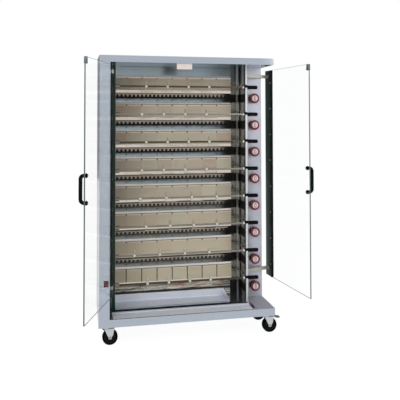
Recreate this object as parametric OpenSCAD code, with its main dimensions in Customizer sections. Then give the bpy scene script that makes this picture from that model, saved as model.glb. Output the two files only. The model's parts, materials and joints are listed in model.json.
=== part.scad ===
// Gas rotisserie for poultry: eight spits in front of eight ceramic-plaque burners,
// in a sheet-steel housing on castors, with two swinging glass doors.
// Millimetres, +Z up, front towards -Y. The origin is on the floor under the middle of the housing.

/* [Housing] */
// Width of the drive bay, from the left side to the chamber's left wall
left_bay_w = 94; // [90:1:120]
// Width of the left column's front face
left_column_w = 71; // [66:1:74]
// Inner width of the roasting chamber, between its side walls
chamber_w = 947; // [930:1:1100]
// Width of the control bay, from the chamber's right wall to the right side
right_bay_w = 149; // [145:1:180]
// Width of the right column's front face
right_column_w = 105; // [96:1:110]
// Depth of the housing, front lip to back panel
housing_d = 320; // [316:1:380]
// Height of the base pan
base_h = 50; // [40:1:70]
// Height of the header channel
header_h = 44; // [36:1:60]
// Thickness of the sheet steel
sheet = 1.5; // [1:0.1:2]
// Distance from the front plane back to the left chamber wall's front edge
left_wall_setback = 146; // [130:1:150]
// Distance from the front plane back to the right chamber wall's front edge
wall_setback = 160; // [150:1:165]
// Depth of the right column, front face to back panel
column_d = 73; // [64:1:77]
// Width of the left chamber wall's front flange
left_flange_w = 24; // [14:1:26]
// Width of the right chamber wall's front flange
right_flange_w = 12; // [8:0.5:13]

/* [Spits] */
// Distance between neighbouring spits
spit_pitch = 192.5; // [190:0.5:230]
// Height of the lowest spit above the base pan
low_spit_h = 162; // [155:1:200]
// Height of the header above the top spit
top_room = 146.5; // [130:0.5:200]
// Distance from the front plane back to the spits
spit_setback = 172; // [168:1:174]
// Side of the square spit bar
bar_side = 12; // [8:0.5:14]
// Radius of the round journal that turns in the right wall
journal_r = 8; // [7.5:0.5:9]
// Radius of the spit's round end inside the grip
stub_r = 6; // [4:0.5:7]
// Radius of the bright collars beside the right wall
collar_r = 11; // [10:0.5:12]
// Radius of the insulated grip
grip_r = 13.5; // [11:0.5:14]
// Length of the insulated grip
grip_l = 76; // [60:1:90]
// Distance between neighbouring forks on a spit
fork_pitch = 152; // [120:1:170]
// Distance from the spit's axis to a fork's prongs
prong_offset = 24; // [18:1:30]
// Length of a fork's prongs
prong_l = 82; // [50:1:100]
// Radius of a prong
prong_r = 2.5; // [2:0.25:3]

/* [Drive] */
// Radius of the drive sockets that carry the spits' left ends
socket_r = 14; // [12:0.5:16]
// Length of a drive socket inside the chamber
socket_l = 50; // [30:1:60]
// Radius of a drive sprocket over its teeth
sprocket_r = 40; // [34:1:44]
// Number of teeth on a drive sprocket
sprocket_teeth = 16; // [12:1:20]
// Thickness of a sprocket
sprocket_t = 6; // [4:0.5:8]
// Radius of the sockets' outboard stubs
drive_stub_r = 8; // [6:0.5:10]
// Thickness of the outboard bearing bar
bearing_bar_t = 6; // [5:0.5:8]
// Thickness of the drive chain
chain_t = 5; // [4:0.5:7]

/* [Burners] */
// Room between the burners and the chamber's right wall
burner_room = 70.6; // [66:0.1:90]
// Joint between neighbouring plaques
tile_gap = 0.8; // [0.4:0.1:2]
// Height of a plaque
tile_h = 88; // [70:1:92]
// Thickness of a plaque
tile_t = 12; // [10:0.5:14]
// Height of a plaque's top edge above its spit
tile_rise = 68; // [60:1:70]
// Distance from the plaques' faces to the housing's back
tile_depth = 38; // [35:0.5:41]
// Height of the bright ledge under the plaques
ledge_h = 20; // [16:1:30]
// Height of the rim over the plaques
rim_h = 2.5; // [2:0.5:6]
// Height of the sloping strip above each burner
hood_h = 15; // [8:1:18]
// Depth of a burner's gas box
burner_d = 30; // [26:1:32]
// Width of the toothed shield under a burner, front to back
shield_d = 20; // [12:1:24]
// Height of the toothed shield's lip
shield_lip = 20; // [16:1:24]
// Distance between the notches in the shield's lip
notch_pitch = 29; // [24:1:36]
// Radius of the notches in the shield's lip
notch_r = 6.75; // [4:0.25:8]
// Radius of a burner's mixing tube
mixer_r = 11; // [9:0.5:12]
// Length of a burner's mixing tube
mixer_l = 30; // [20:1:36]
// Height of the gas feed above its spit
feed_rise = 25; // [10:1:40]

/* [Gas] */
// Drop from a spit to its gas knob
knob_drop = 77; // [70:1:85]
// Distance from the housing's right side to the knobs
knob_inset = 62; // [58:1:68]
// Radius of a knob's body
knob_r = 31; // [24:0.5:32]
// Radius of a knob's coloured ring
ring_r = 36; // [33:0.5:37]
// How far a knob stands out of the column
knob_reach = 45; // [34:1:48]
// Radius of a gas tap's spindle
spindle_r = 4; // [3:0.5:5]
// Radius of a gas tap's body
tap_r = 14; // [11:0.5:18]
// Radius of the gas rail
rail_r = 11; // [9:0.5:14]
// Radius of a burner's feed pipe
pipe_r = 4; // [3:0.5:5]
// Radius of the gas inlet spigot
inlet_r = 10.5; // [8:0.5:13]
// Length of the gas inlet spigot behind the housing
inlet_l = 24; // [20:1:40]

/* [Doors] */
// Distance from the chamber's right wall to the closed right door's bar
bar_offset = 6; // [0:1:12]
// Height of the glass above the base pan
door_rise = 145; // [120:1:160]
// Gap between the glass and the header
door_top_gap = 18; // [12:1:40]
// Thickness of the glass
glass_t = 8; // [6:0.5:10]
// Gap between the closed doors
door_gap = 4; // [3:0.5:8]
// Depth of the closed glass's middle behind the front plane
glass_setback = 4.5; // [4.5:0.5:6]
// Angle that the left door stands open in the photograph
left_open = 112.7; // [60:0.1:113]
// Angle that the right door stands open in the photograph
right_open = 98.3; // [60:0.1:99]
// Distance from the left column to the left door's hinge
hinge_gap = 12; // [11:0.5:14]
// Radius of the left door's hinge rod
hinge_r = 5; // [4:0.5:6]
// Half width of the black hinge bar round the rod
hinge_bar_r = 7; // [6:0.5:8]
// Glass behind the right door's black bar
tail_l = 80; // [60:1:90]
// Distance from the right door's bar back to its arms' clamps
clamp_back = 45; // [35:1:50]
// Depth of the right door's pivot behind the front plane
pivot_setback = 194; // [193.5:0.5:198]
// Distance from the right wall to the right door's pivot
pivot_gap = 22; // [21:0.5:24]
// Radius of the right door's pivot rod
pivot_r = 6; // [5:0.5:6]
// Height of the hinge arms
arm_h = 24; // [18:1:30]
// Thickness of the hinge arms
arm_t = 8; // [6:0.5:9]
// Distance from the glass's foot to the lower arms' middles
arm_low_inset = 58; // [50:1:90]
// Distance from the glass's top to the upper arms' middles
arm_high_inset = 45; // [42:1:90]
// Length of a door's pull handle
pull_l = 176; // [140:1:220]
// Radius of a pull handle's bar
pull_r = 11; // [6:0.5:12]
// Reach of a pull handle from the glass
pull_reach = 44; // [34:1:50]
// Distance from the meeting edge to the pull handle
pull_inset = 34; // [24:1:44]

/* [Tray, switch and door stop] */
// Length of the drip tray
tray_l = 795; // [600:1:800]
// Depth of the drip tray, front to back
tray_d = 148; // [120:1:150]
// Height of the drip tray's back
tray_back_h = 50; // [40:1:60]
// Height of the drip tray's front
tray_front_h = 14; // [10:1:24]
// Height of the runners under the tray
runner_h = 5; // [4:0.5:8]
// Width of the switch's bezel
bezel_w = 30; // [24:1:36]
// Height of the switch's bezel
bezel_h = 38; // [30:1:46]
// Height of the switch above the base pan
switch_rise = 230; // [120:1:300]
// Distance from the left side to the switch
switch_inset = 45; // [40:1:46]
// Width of the bare plate that the doors close against
stop_w = 104; // [60:1:140]
// How far the stop plate hangs below the header
stop_h = 40; // [30:1:60]
// Thickness of the stop plate
stop_t = 3; // [2:0.5:4]

/* [Castors] */
// Radius of a castor wheel
wheel_r = 50; // [40:1:52]
// Width of a castor wheel
wheel_w = 30; // [24:1:34]
// Height of the base pan above the floor
castor_h = 125; // [122:1:140]
// Trail of a castor wheel behind its swivel
trail = 27; // [20:1:30]
// Distance from the housing's side to a castor's swivel
castor_inset_x = 50; // [46:1:60]
// Distance from the housing's front or back to a castor's swivel
castor_inset_y = 52; // [48:1:60]
// Radius of a castor's axle
axle_r = 4; // [3:0.5:6]
// Radius of a castor's kingpin
kingpin_r = 6; // [5:0.5:8]
// How far a brake pedal reaches from its swivel
pedal_reach = 101; // [90:1:110]

/* [Fits] */
// Radial clearance of a turning shaft in its hole
run_clear = 0.05; // [0.02:0.01:0.1]
// Gap between faces that move past each other
face_gap = 0.3; // [0.3:0.05:0.5]

/* [Hidden] */
$fn = 48;
LEVELS = [1:8];
level_count = 8;
TILES = [0:7];
tile_count = 8;
// A corner is [left or right, front or back] as -1 or 1
CORNERS = [[-1, -1], [1, -1], [-1, 1], [1, 1]];
CORNER_NAMES = ["front_left", "front_right", "rear_left", "rear_right"];

// Housing planes
housing_w = left_bay_w + chamber_w + right_bay_w;
left_x = -housing_w / 2;
right_x = housing_w / 2;
front_y = -housing_d / 2;
back_y = housing_d / 2;
inner_back_y = back_y - sheet;
base_top = castor_h + base_h;
chamber_h = low_spit_h + (level_count - 1) * spit_pitch + top_room;
header_z = base_top + chamber_h;
top_z = header_z + header_h;
left_wall_x = left_x + left_bay_w;
left_inner_x = left_wall_x + sheet;
right_wall_x = left_wall_x + chamber_w;
wall_y = front_y + wall_setback;
left_flange_y = front_y + left_wall_setback;
column_x = right_x - right_column_w;
column_y = back_y - column_d;
return_d = 20;
base_rim = 15;
flue_l = 380;
flue_w = 12;
flue_gap = 60;
flue_back = 46;
flue_y = inner_back_y - flue_back;
stop_fold = 12;

// Spits and their drive
spit_y = front_y + spit_setback;
low_spit_z = base_top + low_spit_h;
function spit_z(k) = low_spit_z + (level_count - k) * spit_pitch;
function knob_z(k) = spit_z(k) - knob_drop;
function feed_z(k) = spit_z(k) + feed_rise;
bearing_l = 20;
bearing_wall = 9;
seat_t = 8;
seat_drop = 3;
guide = [9, 28, 16];
guide_back = 50;
guide_rise = 10;
socket_end = left_inner_x + socket_l;
socket_depth = 30;
socket_slack = 0.1;
bar_start = socket_end - socket_depth;
flange_end = right_wall_x + sheet + right_flange_w;
collar_t = 3;
inner_collar_l = 12;
bush_l = 8;
bush_step = 1.5;
bush_r = grip_r - bush_step;
journal_start = right_wall_x - bush_l - face_gap - inner_collar_l;
collar_end = flange_end + face_gap + collar_t;
stub_rest = 10;
stub_l = grip_l - stub_rest;
fork_count = 4;
first_fork = 174;
fork_start = socket_end + first_fork;
// How far each spit's first fork, and the distance between its forks, is from the usual one
fork_shift = [10, -20, 10, -20, -30, 10, -70, 20];
fork_spread = [-3, 0, -3, 0, 28, 15, 23, -4];
fork_plate_t = 3;
fork_plate_inset = 0.5;
fork_plate_w = 10;
prong_tip = 10;
prong_tip_r = 0.5;
fork_collar_l = 16;
screw_r = 4;
screw_l = 18;
knurl_r = 7;
knurl_l = 8;
prong_rise = 5;
stub_inset = 30;
bar_inset = 40;
hub_inset = 50;
sprocket_inset = 62;
sprocket_x = left_x + sprocket_inset;
hub_start = left_x + hub_inset;
bar_x = left_x + bar_inset;
stub_start = left_x + stub_inset;
bearing_bar_w = 44;
chain_gap = 0.4;
gullet_r = 4;
motor_d = 84;
motor_h = low_spit_h + 20;
motor_bore_depth = 8;
motor_start = left_x + sheet;
motor_gap = 0.5;
motor_end = bar_x - motor_gap;

// Burners
burner_gap = 0.5;
burner_x = left_inner_x + burner_gap;
burner_end = right_wall_x - burner_room;
burner_w = burner_end - burner_x;
tile_pitch = burner_w / tile_count;
tile_y = back_y - tile_depth;
tile_proud = 2;
burner_y = tile_y + tile_proud;
burner_back = tile_y + burner_d;
plate_seat = 8;
plate_y = tile_y + plate_seat;
shield_y = plate_y - shield_d;
shield_drop = 7;
plate_drop = 42;
box_wall = 1.5;
hood_edge = 1;
tile_rest = 8;
screw_drop = plate_drop + 10;
burner_pin_r = 4;
burner_pin_drop = 20;
bracket_pin_r = 3;
bracket_pin_drop = 22;
bracket_forward = 60;
box_end = 10;
mixer_gap = 1;
mixer_y = burner_back - mixer_r - mixer_gap;
post_reach = 42;
post_x = burner_end + post_reach;
post_w = 22;
post_d = 32;
post_hole_r = pipe_r + 1;
post_end = 10;
screw_head_r = 4;
screw_head_t = 1.5;
port_r = 2.5;

// Gas taps
knob_x = right_x - knob_inset;
knob_gap = 0.5;
rail_gap = 17;
rail_foot = 16;
rail_head = 30;
rail_clip_w = 6;
rail_clip = [8, 20];
rail_y = inner_back_y - rail_r - rail_gap;
feed_gap = 18;
feed_x = right_wall_x + sheet + feed_gap;
tap_back = rail_y;
spindle_l = 26;
inlet_rise = 60;
inlet_z = base_top + inlet_rise;
inlet_wall = 3;
knob_hole_r = 10;
skirt = 15;

// Doors
glass_y = front_y + glass_setback;
hinge_x = left_x + left_column_w + hinge_gap;
glass_low = base_top + door_rise;
glass_high = header_z - door_top_gap;
arm_levels = [glass_low + arm_low_inset, glass_high - arm_high_inset];
closed_bar_x = right_wall_x + bar_offset;
door_w = (closed_bar_x - hinge_x - door_gap) / 2;
pivot_x = right_wall_x + pivot_gap;
pivot_y = front_y + pivot_setback;
glass_start = 12;
channel_l = 20;
boss_wall = 4.5;
hub_wall = 5;
rod_end = 3;
bar_w = 15;
bar_t = 6;
catch_w = 24;
catch_h = 40;
catch_t = 3;
pull_z = (glass_low + glass_high) / 2;
pull_pitch = pull_l - 2 * pull_r;
washer_r = 10;
washer_t = 3;
clamp_s = 28;
meeting_x = hinge_x + door_w + door_gap / 2;
stop_y = glass_y + glass_t / 2 + catch_t + face_gap;

// Tray
tray_gap = 3;
tray_back_gap = 16;
tray_x = left_wall_x + left_flange_w + tray_gap;
tray_y = inner_back_y - tray_back_gap - tray_d;
tray_t = 1.2;
dam_back = 100;
dam_y = front_y + dam_back;
dam_w = 20;
runner_w = 10;
runner_inset = 30;
tray_lip = 8;

// Switch
bezel_rim = 3;
bezel_proud = 2;
bezel_depth = 16;
pin_r = 1.5;
pin_seat = 1.5;
rocker_w = bezel_w - 2 * bezel_rim - 1;
rocker_h = bezel_h - 2 * bezel_rim - 4;
rocker_y = 5;

// Castors
mount_plate = 88;
mount_plate_t = 3;
fork_top = castor_h - mount_plate_t - face_gap;
head_t = 12;
head_r = 30;
leg_t = 4;
leg_y = wheel_w / 2 + 1;
leg_front = 28;
leg_back = 12;
boss_r = 11.5;
bolt_t = 3;
tread_t = 11;
nut_r = 9;
nut_t = 6;
pedal_w = 28;
pedal_t = 6;

// Basic shapes
module block(x, y, z) {
    translate([x[0], y[0], z[0]]) cube([x[1] - x[0], y[1] - y[0], z[1] - z[0]]);
}

module rod_x(x, y, z, r) {
    translate([x[0], y, z]) rotate([0, 90, 0]) cylinder(r = r, h = x[1] - x[0]);
}

module rod_y(x, y, z, r) {
    translate([x, y[0], z]) rotate([-90, 0, 0]) cylinder(r = r, h = y[1] - y[0]);
}

module rod_z(x, y, z, r) {
    translate([x, y, z[0]]) cylinder(r = r, h = z[1] - z[0]);
}

function swivel_x(corner) = corner[0] * (housing_w / 2 - castor_inset_x);
function swivel_y(corner) = corner[1] * (housing_d / 2 - castor_inset_y);

// Housing
module base_shell() {
    end_w = castor_inset_x + mount_plate / 2 + 4;
    difference() {
        block([left_x, right_x], [front_y, back_y], [castor_h, base_top]);
        block([left_x + sheet, right_x - sheet], [front_y + sheet, inner_back_y],
              [castor_h + sheet, base_top - sheet]);
        block([left_x + end_w, right_x - end_w], [front_y + base_rim, back_y - base_rim],
              [castor_h - 1, castor_h + sheet + 1]);
    }
}

module runner(x) {
    block([x, x + runner_w], [dam_y + dam_w, tray_y + tray_d], [base_top, base_top + runner_h]);
}

module base_pan() {
    color("lightsteelblue") difference() {
        union() {
            base_shell();
            block([left_inner_x, right_wall_x], [dam_y, dam_y + dam_w], [base_top, base_top + runner_h]);
            runner(tray_x + runner_inset);
            runner(tray_x + tray_l - runner_inset - runner_w);
            for (corner = CORNERS)
                translate([swivel_x(corner), swivel_y(corner), castor_h - mount_plate_t / 2])
                    cube([mount_plate, mount_plate, mount_plate_t], center = true);
        }
        for (corner = CORNERS)
            rod_z(swivel_x(corner), swivel_y(corner), [castor_h - 10, castor_h + 10], kingpin_r + run_clear);
        rod_z(pivot_x, pivot_y, [base_top - 5, base_top + 5], pivot_r + run_clear);
    }
}

module header_channel() {
    chamber_x = (left_inner_x + right_wall_x) / 2;
    color("lightsteelblue") difference() {
        block([left_x, right_x], [front_y, back_y], [header_z, top_z]);
        block([left_x + sheet, right_x - sheet], [front_y + sheet, inner_back_y],
              [header_z + sheet, top_z - sheet]);
        for (start = [chamber_x - flue_gap / 2 - flue_l, chamber_x + flue_gap / 2])
            block([start, start + flue_l], [flue_y, flue_y + flue_w], [header_z - 1, top_z + 1]);
        rod_z(pivot_x, pivot_y, [header_z - 5, header_z + 5], pivot_r + run_clear);
    }
    color("mistyrose") {
        block([meeting_x - stop_w / 2, meeting_x + stop_w / 2], [stop_y, stop_y + stop_t],
              [header_z - stop_h, header_z]);
        block([meeting_x - stop_w / 2, meeting_x + stop_w / 2],
              [stop_y + stop_t, stop_y + stop_t + stop_fold], [header_z - stop_t, header_z]);
    }
}

module left_column() {
    low = base_top;
    high = header_z;
    switch_x = left_x + switch_inset;
    switch_z = base_top + switch_rise;
    color("lightsteelblue") difference() {
        union() {
            block([left_x, left_x + sheet], [front_y, back_y], [low, high]);
            block([left_x, left_x + left_column_w], [front_y, front_y + sheet], [low, high]);
            block([left_x + left_column_w - sheet, left_x + left_column_w], [front_y, front_y + return_d],
                  [low, high]);
            block([left_x, left_wall_x], [inner_back_y, back_y], [low, high]);
            translate([switch_x, front_y, switch_z]) switch_bezel();
        }
        translate([switch_x, front_y, switch_z]) switch_opening();
    }
    color("gray") difference() {
        block([bar_x, bar_x + bearing_bar_t], [spit_y - bearing_bar_w / 2, spit_y + bearing_bar_w / 2],
              [low, high]);
        for (k = LEVELS)
            rod_x([bar_x - 1, bar_x + bearing_bar_t + 1], spit_y, spit_z(k), drive_stub_r + run_clear);
    }
}

// The switch's case, a well behind the column's face with a rim in front
module switch_bezel() {
    translate([-bezel_w / 2, -bezel_proud, -bezel_h / 2]) cube([bezel_w, bezel_proud, bezel_h]);
    translate([-bezel_w / 2 + 1, 0, -bezel_h / 2 + 1]) cube([bezel_w - 2, bezel_depth, bezel_h - 2]);
}

module switch_opening() {
    well_w = bezel_w - 2 * bezel_rim;
    well_h = bezel_h - 2 * bezel_rim;
    translate([-well_w / 2, -bezel_proud - 1, -well_h / 2]) cube([well_w, bezel_depth, well_h]);
    rod_x([-well_w / 2 - pin_seat, well_w / 2 + pin_seat], rocker_y, 0, pin_r + run_clear);
}

module rocker_switch() {
    pin_l = bezel_w / 2 - bezel_rim + pin_seat - face_gap;
    color("crimson") translate([left_x + switch_inset, front_y, base_top + switch_rise]) {
        translate([-rocker_w / 2, 0, 0]) rotate([90, 0, 90]) linear_extrude(rocker_w)
            polygon([[-3, -rocker_h / 2], [-1, 0], [-4.5, rocker_h / 2], [3, rocker_h / 2 - 1],
                     [9, 4], [9, -4], [3, -rocker_h / 2 + 1]]);
        rod_x([-pin_l, pin_l], rocker_y, 0, pin_r);
    }
}

module right_column() {
    color("lightsteelblue") difference() {
        block([column_x, right_x], [column_y, back_y], [base_top, header_z]);
        block([column_x + sheet, right_x - sheet], [column_y + sheet, inner_back_y],
              [base_top - 1, header_z + 1]);
        block([column_x - 1, column_x + sheet + 1], [column_y + return_d, inner_back_y - return_d / 2],
              [base_top - 1, header_z + 1]);
        for (k = LEVELS)
            rod_y(knob_x, [column_y - 1, column_y + sheet + 1], knob_z(k), knob_hole_r);
        rod_y(knob_x, [inner_back_y - 1, back_y + 1], inlet_z, inlet_r + 1);
    }
}

// A flat arm that carries the left hinge rod, from the chamber wall's flange
module hinge_bracket(z) {
    boss_r = hinge_r + boss_wall;
    reach = left_flange_y + sheet / 2 - glass_y;
    shift = left_wall_x + left_flange_w / 2 - hinge_x;
    difference() {
        union() {
            rod_z(hinge_x, glass_y, [z - arm_h / 2, z + arm_h / 2], boss_r);
            translate([0, 0, z - arm_h / 2]) linear_extrude(arm_h)
                polygon([[hinge_x + boss_r - arm_t / 2, glass_y], [hinge_x + boss_r, glass_y],
                         [hinge_x + shift + arm_t / 2, glass_y + reach],
                         [hinge_x + shift - arm_t / 2, glass_y + reach],
                         [hinge_x - 1, glass_y + boss_r - 1], [hinge_x, glass_y + hinge_r + 1]]);
        }
        rod_z(hinge_x, glass_y, [z - arm_h, z + arm_h], hinge_r + run_clear);
    }
}

module left_wall() {
    color("silver") {
        difference() {
            union() {
                block([left_wall_x, left_inner_x], [left_flange_y, inner_back_y], [base_top, header_z]);
                block([left_wall_x, left_wall_x + left_flange_w], [left_flange_y, left_flange_y + sheet],
                      [base_top, header_z]);
                for (k = LEVELS)
                    rod_x([left_wall_x - bearing_l, left_wall_x + 1], spit_y, spit_z(k),
                          socket_r + bearing_wall);
            }
            for (k = LEVELS)
                rod_x([left_wall_x - bearing_l - 1, left_inner_x + 1], spit_y, spit_z(k),
                      socket_r + run_clear);
        }
        for (z = arm_levels) hinge_bracket(z);
    }
}

// A slot that lets a spit's journal in from the front and down into its seat
module spit_slot(z) {
    entry = journal_r + 2;
    x = [right_wall_x - 1, flange_end + 1];
    block(x, [wall_y - 1, spit_y], [z - seat_drop, z - seat_drop + 2 * entry]);
    rod_x(x, spit_y, z, journal_r + run_clear);
    rod_x(x, spit_y, z - seat_drop + entry, entry);
}

module right_wall() {
    through = [right_wall_x - 1, right_wall_x + sheet + 1];
    color("silver") difference() {
        union() {
            block([right_wall_x, right_wall_x + sheet], [wall_y, inner_back_y], [base_top, header_z]);
            block([right_wall_x, flange_end], [wall_y, wall_y + sheet], [base_top, header_z]);
            for (k = LEVELS) {
                block([right_wall_x, flange_end], [wall_y, spit_y + journal_r],
                      [spit_z(k) - journal_r - seat_t, spit_z(k) - journal_r + 2]);
                translate([right_wall_x - guide[0], spit_y + guide_back, spit_z(k) + guide_rise]) cube(guide);
            }
        }
        for (k = LEVELS) {
            spit_slot(spit_z(k));
            rod_x(through, mixer_y, feed_z(k), post_hole_r);
            rod_x(through, plate_y - ledge_h, spit_z(k) - burner_pin_drop, burner_pin_r);
            rod_x(through, plate_y - bracket_forward, spit_z(k) - bracket_pin_drop, bracket_pin_r);
        }
    }
}

module back_panel() {
    color("slategray") difference() {
        union() {
            block([left_wall_x, column_x], [inner_back_y, back_y], [base_top, header_z]);
            block([post_x, post_x + post_w], [inner_back_y - post_d, inner_back_y], [base_top, header_z]);
        }
        block([post_x + sheet, post_x + post_w - sheet], [inner_back_y - post_d + sheet, back_y + 1],
              [base_top + post_end, header_z - post_end]);
        for (k = LEVELS)
            rod_x([post_x - 1, post_x + post_w + 1], mixer_y, feed_z(k), post_hole_r);
    }
}

// Burners
module burner_box(z) {
    top = z + tile_rise;
    bottom = top - tile_h;
    low = bottom - ledge_h;
    difference() {
        block([burner_x, burner_end], [burner_y, burner_back], [low, top + rim_h]);
        block([burner_x, burner_end + 1], [burner_y - 1, tile_y + tile_t], [bottom, top]);
        block([burner_x + box_end, burner_end - box_end], [burner_y, burner_back - box_wall],
              [bottom + tile_rest, top - tile_rest]);
        block([burner_x + box_wall, burner_end - box_wall], [burner_y + box_wall, burner_back - box_wall],
              [low + box_wall, bottom - box_wall]);
        for (i = [1 : tile_count - 1])
            rod_y(burner_x + i * tile_pitch, [burner_y - 1, burner_y + 2 * box_wall],
                  low + ledge_h / 2, port_r);
    }
    rod_x([burner_end, burner_end + mixer_l], mixer_y, z + feed_rise, mixer_r);
    // A strip that slopes back from the burner's front edge to the sheet behind it
    foot = top + rim_h - hood_edge / 2;
    translate([burner_x, 0, 0]) rotate([90, 0, 90]) linear_extrude(burner_end - burner_x)
        polygon([[burner_y, foot], [plate_y, foot], [plate_y, top + rim_h + hood_h],
                 [burner_y, foot + hood_edge]]);
}

module burner_boxes() {
    color("silver") for (k = LEVELS) burner_box(spit_z(k));
}

// The sheet between two burners, folded forward into a lip with round notches
module burner_shield(top, bottom) {
    fold_z = top - shield_drop;
    notch_count = floor((burner_w - notch_pitch) / notch_pitch);
    block([burner_x, burner_end], [plate_y, plate_y + sheet], [bottom, top]);
    block([burner_x, burner_end], [shield_y, plate_y], [fold_z - sheet, fold_z]);
    difference() {
        block([burner_x, burner_end], [shield_y, shield_y + sheet], [fold_z - shield_lip, fold_z]);
        for (i = [0 : notch_count])
            rod_y(burner_x + (i + 0.5) * notch_pitch, [shield_y - 1, shield_y + sheet + 1],
                  fold_z - shield_lip, notch_r);
    }
    for (i = [0 : tile_count - 2])
        rod_y(burner_x + (i + 1) * tile_pitch, [plate_y - screw_head_t, plate_y], top - screw_drop,
              screw_head_r);
}

module burner_shields() {
    color("slategray") {
        for (k = [1 : level_count - 1])
            burner_shield(spit_z(k) + tile_rise - tile_h - ledge_h, spit_z(k + 1) + tile_rise + rim_h);
        block([burner_x, burner_end], [plate_y, plate_y + sheet], [spit_z(1) + tile_rise + rim_h, header_z]);
    }
}

module ceramic_plaques() {
    color("tan") for (k = LEVELS, i = TILES)
        translate([burner_x + i * tile_pitch + tile_gap / 2, tile_y, spit_z(k) + tile_rise - tile_h])
            cube([tile_pitch - tile_gap, tile_t, tile_h]);
}

// Spits and their drive
module fork(x, z) {
    hub = fork_collar_l / 2;
    plate = [x - hub + fork_plate_inset, x - hub + fork_plate_inset + fork_plate_t];
    prong_end = plate[0] + prong_l;
    rod_x([x - hub, x + hub], spit_y, z, collar_r);
    rod_z(x, spit_y, [z, z + collar_r + screw_l], screw_r);
    rod_z(x, spit_y, [z + collar_r + screw_l, z + collar_r + screw_l + knurl_l], knurl_r);
    for (side = [-1, 1]) {
        block(plate, [spit_y - fork_plate_w / 2, spit_y + fork_plate_w / 2],
              side > 0 ? [z, z + prong_offset + prong_rise] : [z - prong_offset - prong_rise, z]);
        rod_x([plate[0] + 1, prong_end], spit_y, z + side * prong_offset, prong_r);
        translate([prong_end, spit_y, z + side * prong_offset]) rotate([0, 90, 0])
            cylinder(r1 = prong_r, r2 = prong_tip_r, h = prong_tip);
    }
}

module spit(k) {
    z = spit_z(k);
    half = bar_side / 2;
    color("gainsboro") {
        block([bar_start, journal_start], [spit_y - half, spit_y + half], [z - half, z + half]);
        rod_x([journal_start, journal_start + inner_collar_l], spit_y, z, collar_r);
        rod_x([journal_start + inner_collar_l, flange_end + face_gap], spit_y, z, journal_r);
        rod_x([flange_end + face_gap, collar_end], spit_y, z, collar_r);
        rod_x([collar_end, collar_end + stub_l], spit_y, z, stub_r);
        for (i = [0 : fork_count - 1])
            fork(fork_start + fork_shift[k - 1] + i * (fork_pitch + fork_spread[k - 1]), z);
    }
}

module spit_grip(k) {
    z = spit_z(k);
    bevel = 5;
    color("dimgray") {
        difference() {
            union() {
                rod_x([collar_end, collar_end + grip_l - bevel], spit_y, z, grip_r);
                translate([collar_end + grip_l - bevel, spit_y, z]) rotate([0, 90, 0])
                    cylinder(r1 = grip_r, r2 = grip_r - bevel * 0.8, h = bevel);
            }
            rod_x([collar_end - 1, collar_end + stub_l], spit_y, z, stub_r + run_clear);
        }
        difference() {
            rod_x([journal_start + inner_collar_l, right_wall_x - face_gap], spit_y, z, bush_r);
            rod_x([journal_start, right_wall_x], spit_y, z, journal_r + run_clear);
        }
    }
}

module drive_socket(k) {
    z = spit_z(k);
    half = bar_side / 2 + socket_slack;
    color("darkgray") difference() {
        union() {
            rod_x([stub_start, hub_start], spit_y, z, drive_stub_r);
            rod_x([hub_start, socket_end], spit_y, z, socket_r);
            difference() {
                rod_x([sprocket_x, sprocket_x + sprocket_t], spit_y, z, sprocket_r);
                for (a = [0 : sprocket_teeth - 1])
                    translate([0, spit_y, z]) rotate([(a + 0.5) * 360 / sprocket_teeth, 0, 0])
                        rod_x([sprocket_x - 1, sprocket_x + sprocket_t + 1], 0, sprocket_r, gullet_r);
            }
        }
        block([bar_start, socket_end + 1], [spit_y - half, spit_y + half], [z - half, z + half]);
    }
}

// The chain's outline round the top and bottom sprockets, grown by a margin
module chain_outline(margin) {
    r = sprocket_r + chain_gap + margin;
    span = (level_count - 1) * spit_pitch;
    translate([sprocket_x, spit_y, low_spit_z]) rotate([90, 0, 90]) linear_extrude(sprocket_t) {
        circle(r = r);
        translate([0, span]) circle(r = r);
        translate([-r, 0]) square([2 * r, span]);
    }
}

module drive_motor() {
    z = spit_z(level_count);
    color("dimgray") {
        difference() {
            block([motor_start, motor_end], [spit_y - motor_d / 2, spit_y + motor_d / 2],
                  [base_top, base_top + motor_h]);
            rod_x([stub_start - motor_bore_depth, motor_end + 1], spit_y, z, drive_stub_r + run_clear);
        }
        difference() {
            chain_outline(chain_t);
            translate([-1, 0, 0]) chain_outline(0);
            translate([1, 0, 0]) chain_outline(0);
        }
    }
}

// Gas
module gas_tap(k) {
    z = knob_z(k);
    difference() {
        rod_y(knob_x, [column_y + sheet, tap_back], z, tap_r);
        rod_y(knob_x, [column_y, column_y + spindle_l], z, spindle_r + run_clear);
    }
    difference() {
        union() {
            rod_x([feed_x, knob_x], mixer_y, z, pipe_r);
            translate([feed_x, mixer_y, z]) sphere(r = pipe_r);
            rod_z(feed_x, mixer_y, [z, feed_z(k)], pipe_r);
            translate([feed_x, mixer_y, feed_z(k)]) sphere(r = pipe_r);
            rod_x([burner_end + mixer_l, feed_x], mixer_y, feed_z(k), pipe_r);
        }
        rod_y(knob_x, [column_y, tap_back + 1], z, tap_r - 1);
    }
}

module gas_rail() {
    color("goldenrod") {
        difference() {
            union() {
                rod_z(knob_x, rail_y, [inlet_z - rail_foot, knob_z(1) + rail_head], rail_r);
                for (k = LEVELS) gas_tap(k);
                rod_y(knob_x, [rail_y, back_y + 2], inlet_z, inlet_r - 2);
                rod_y(knob_x, [back_y + 2, back_y + inlet_l], inlet_z, inlet_r);
            }
            rod_y(knob_x, [back_y, back_y + inlet_l + 1], inlet_z, inlet_r - inlet_wall);
            for (k = LEVELS)
                rod_y(knob_x, [column_y, column_y + spindle_l], knob_z(k), spindle_r + run_clear);
        }
        block([knob_x - rail_clip_w / 2, knob_x + rail_clip_w / 2], [rail_y, inner_back_y],
              [knob_z(1) + rail_clip[0], knob_z(1) + rail_clip[1]]);
    }
}

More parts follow.
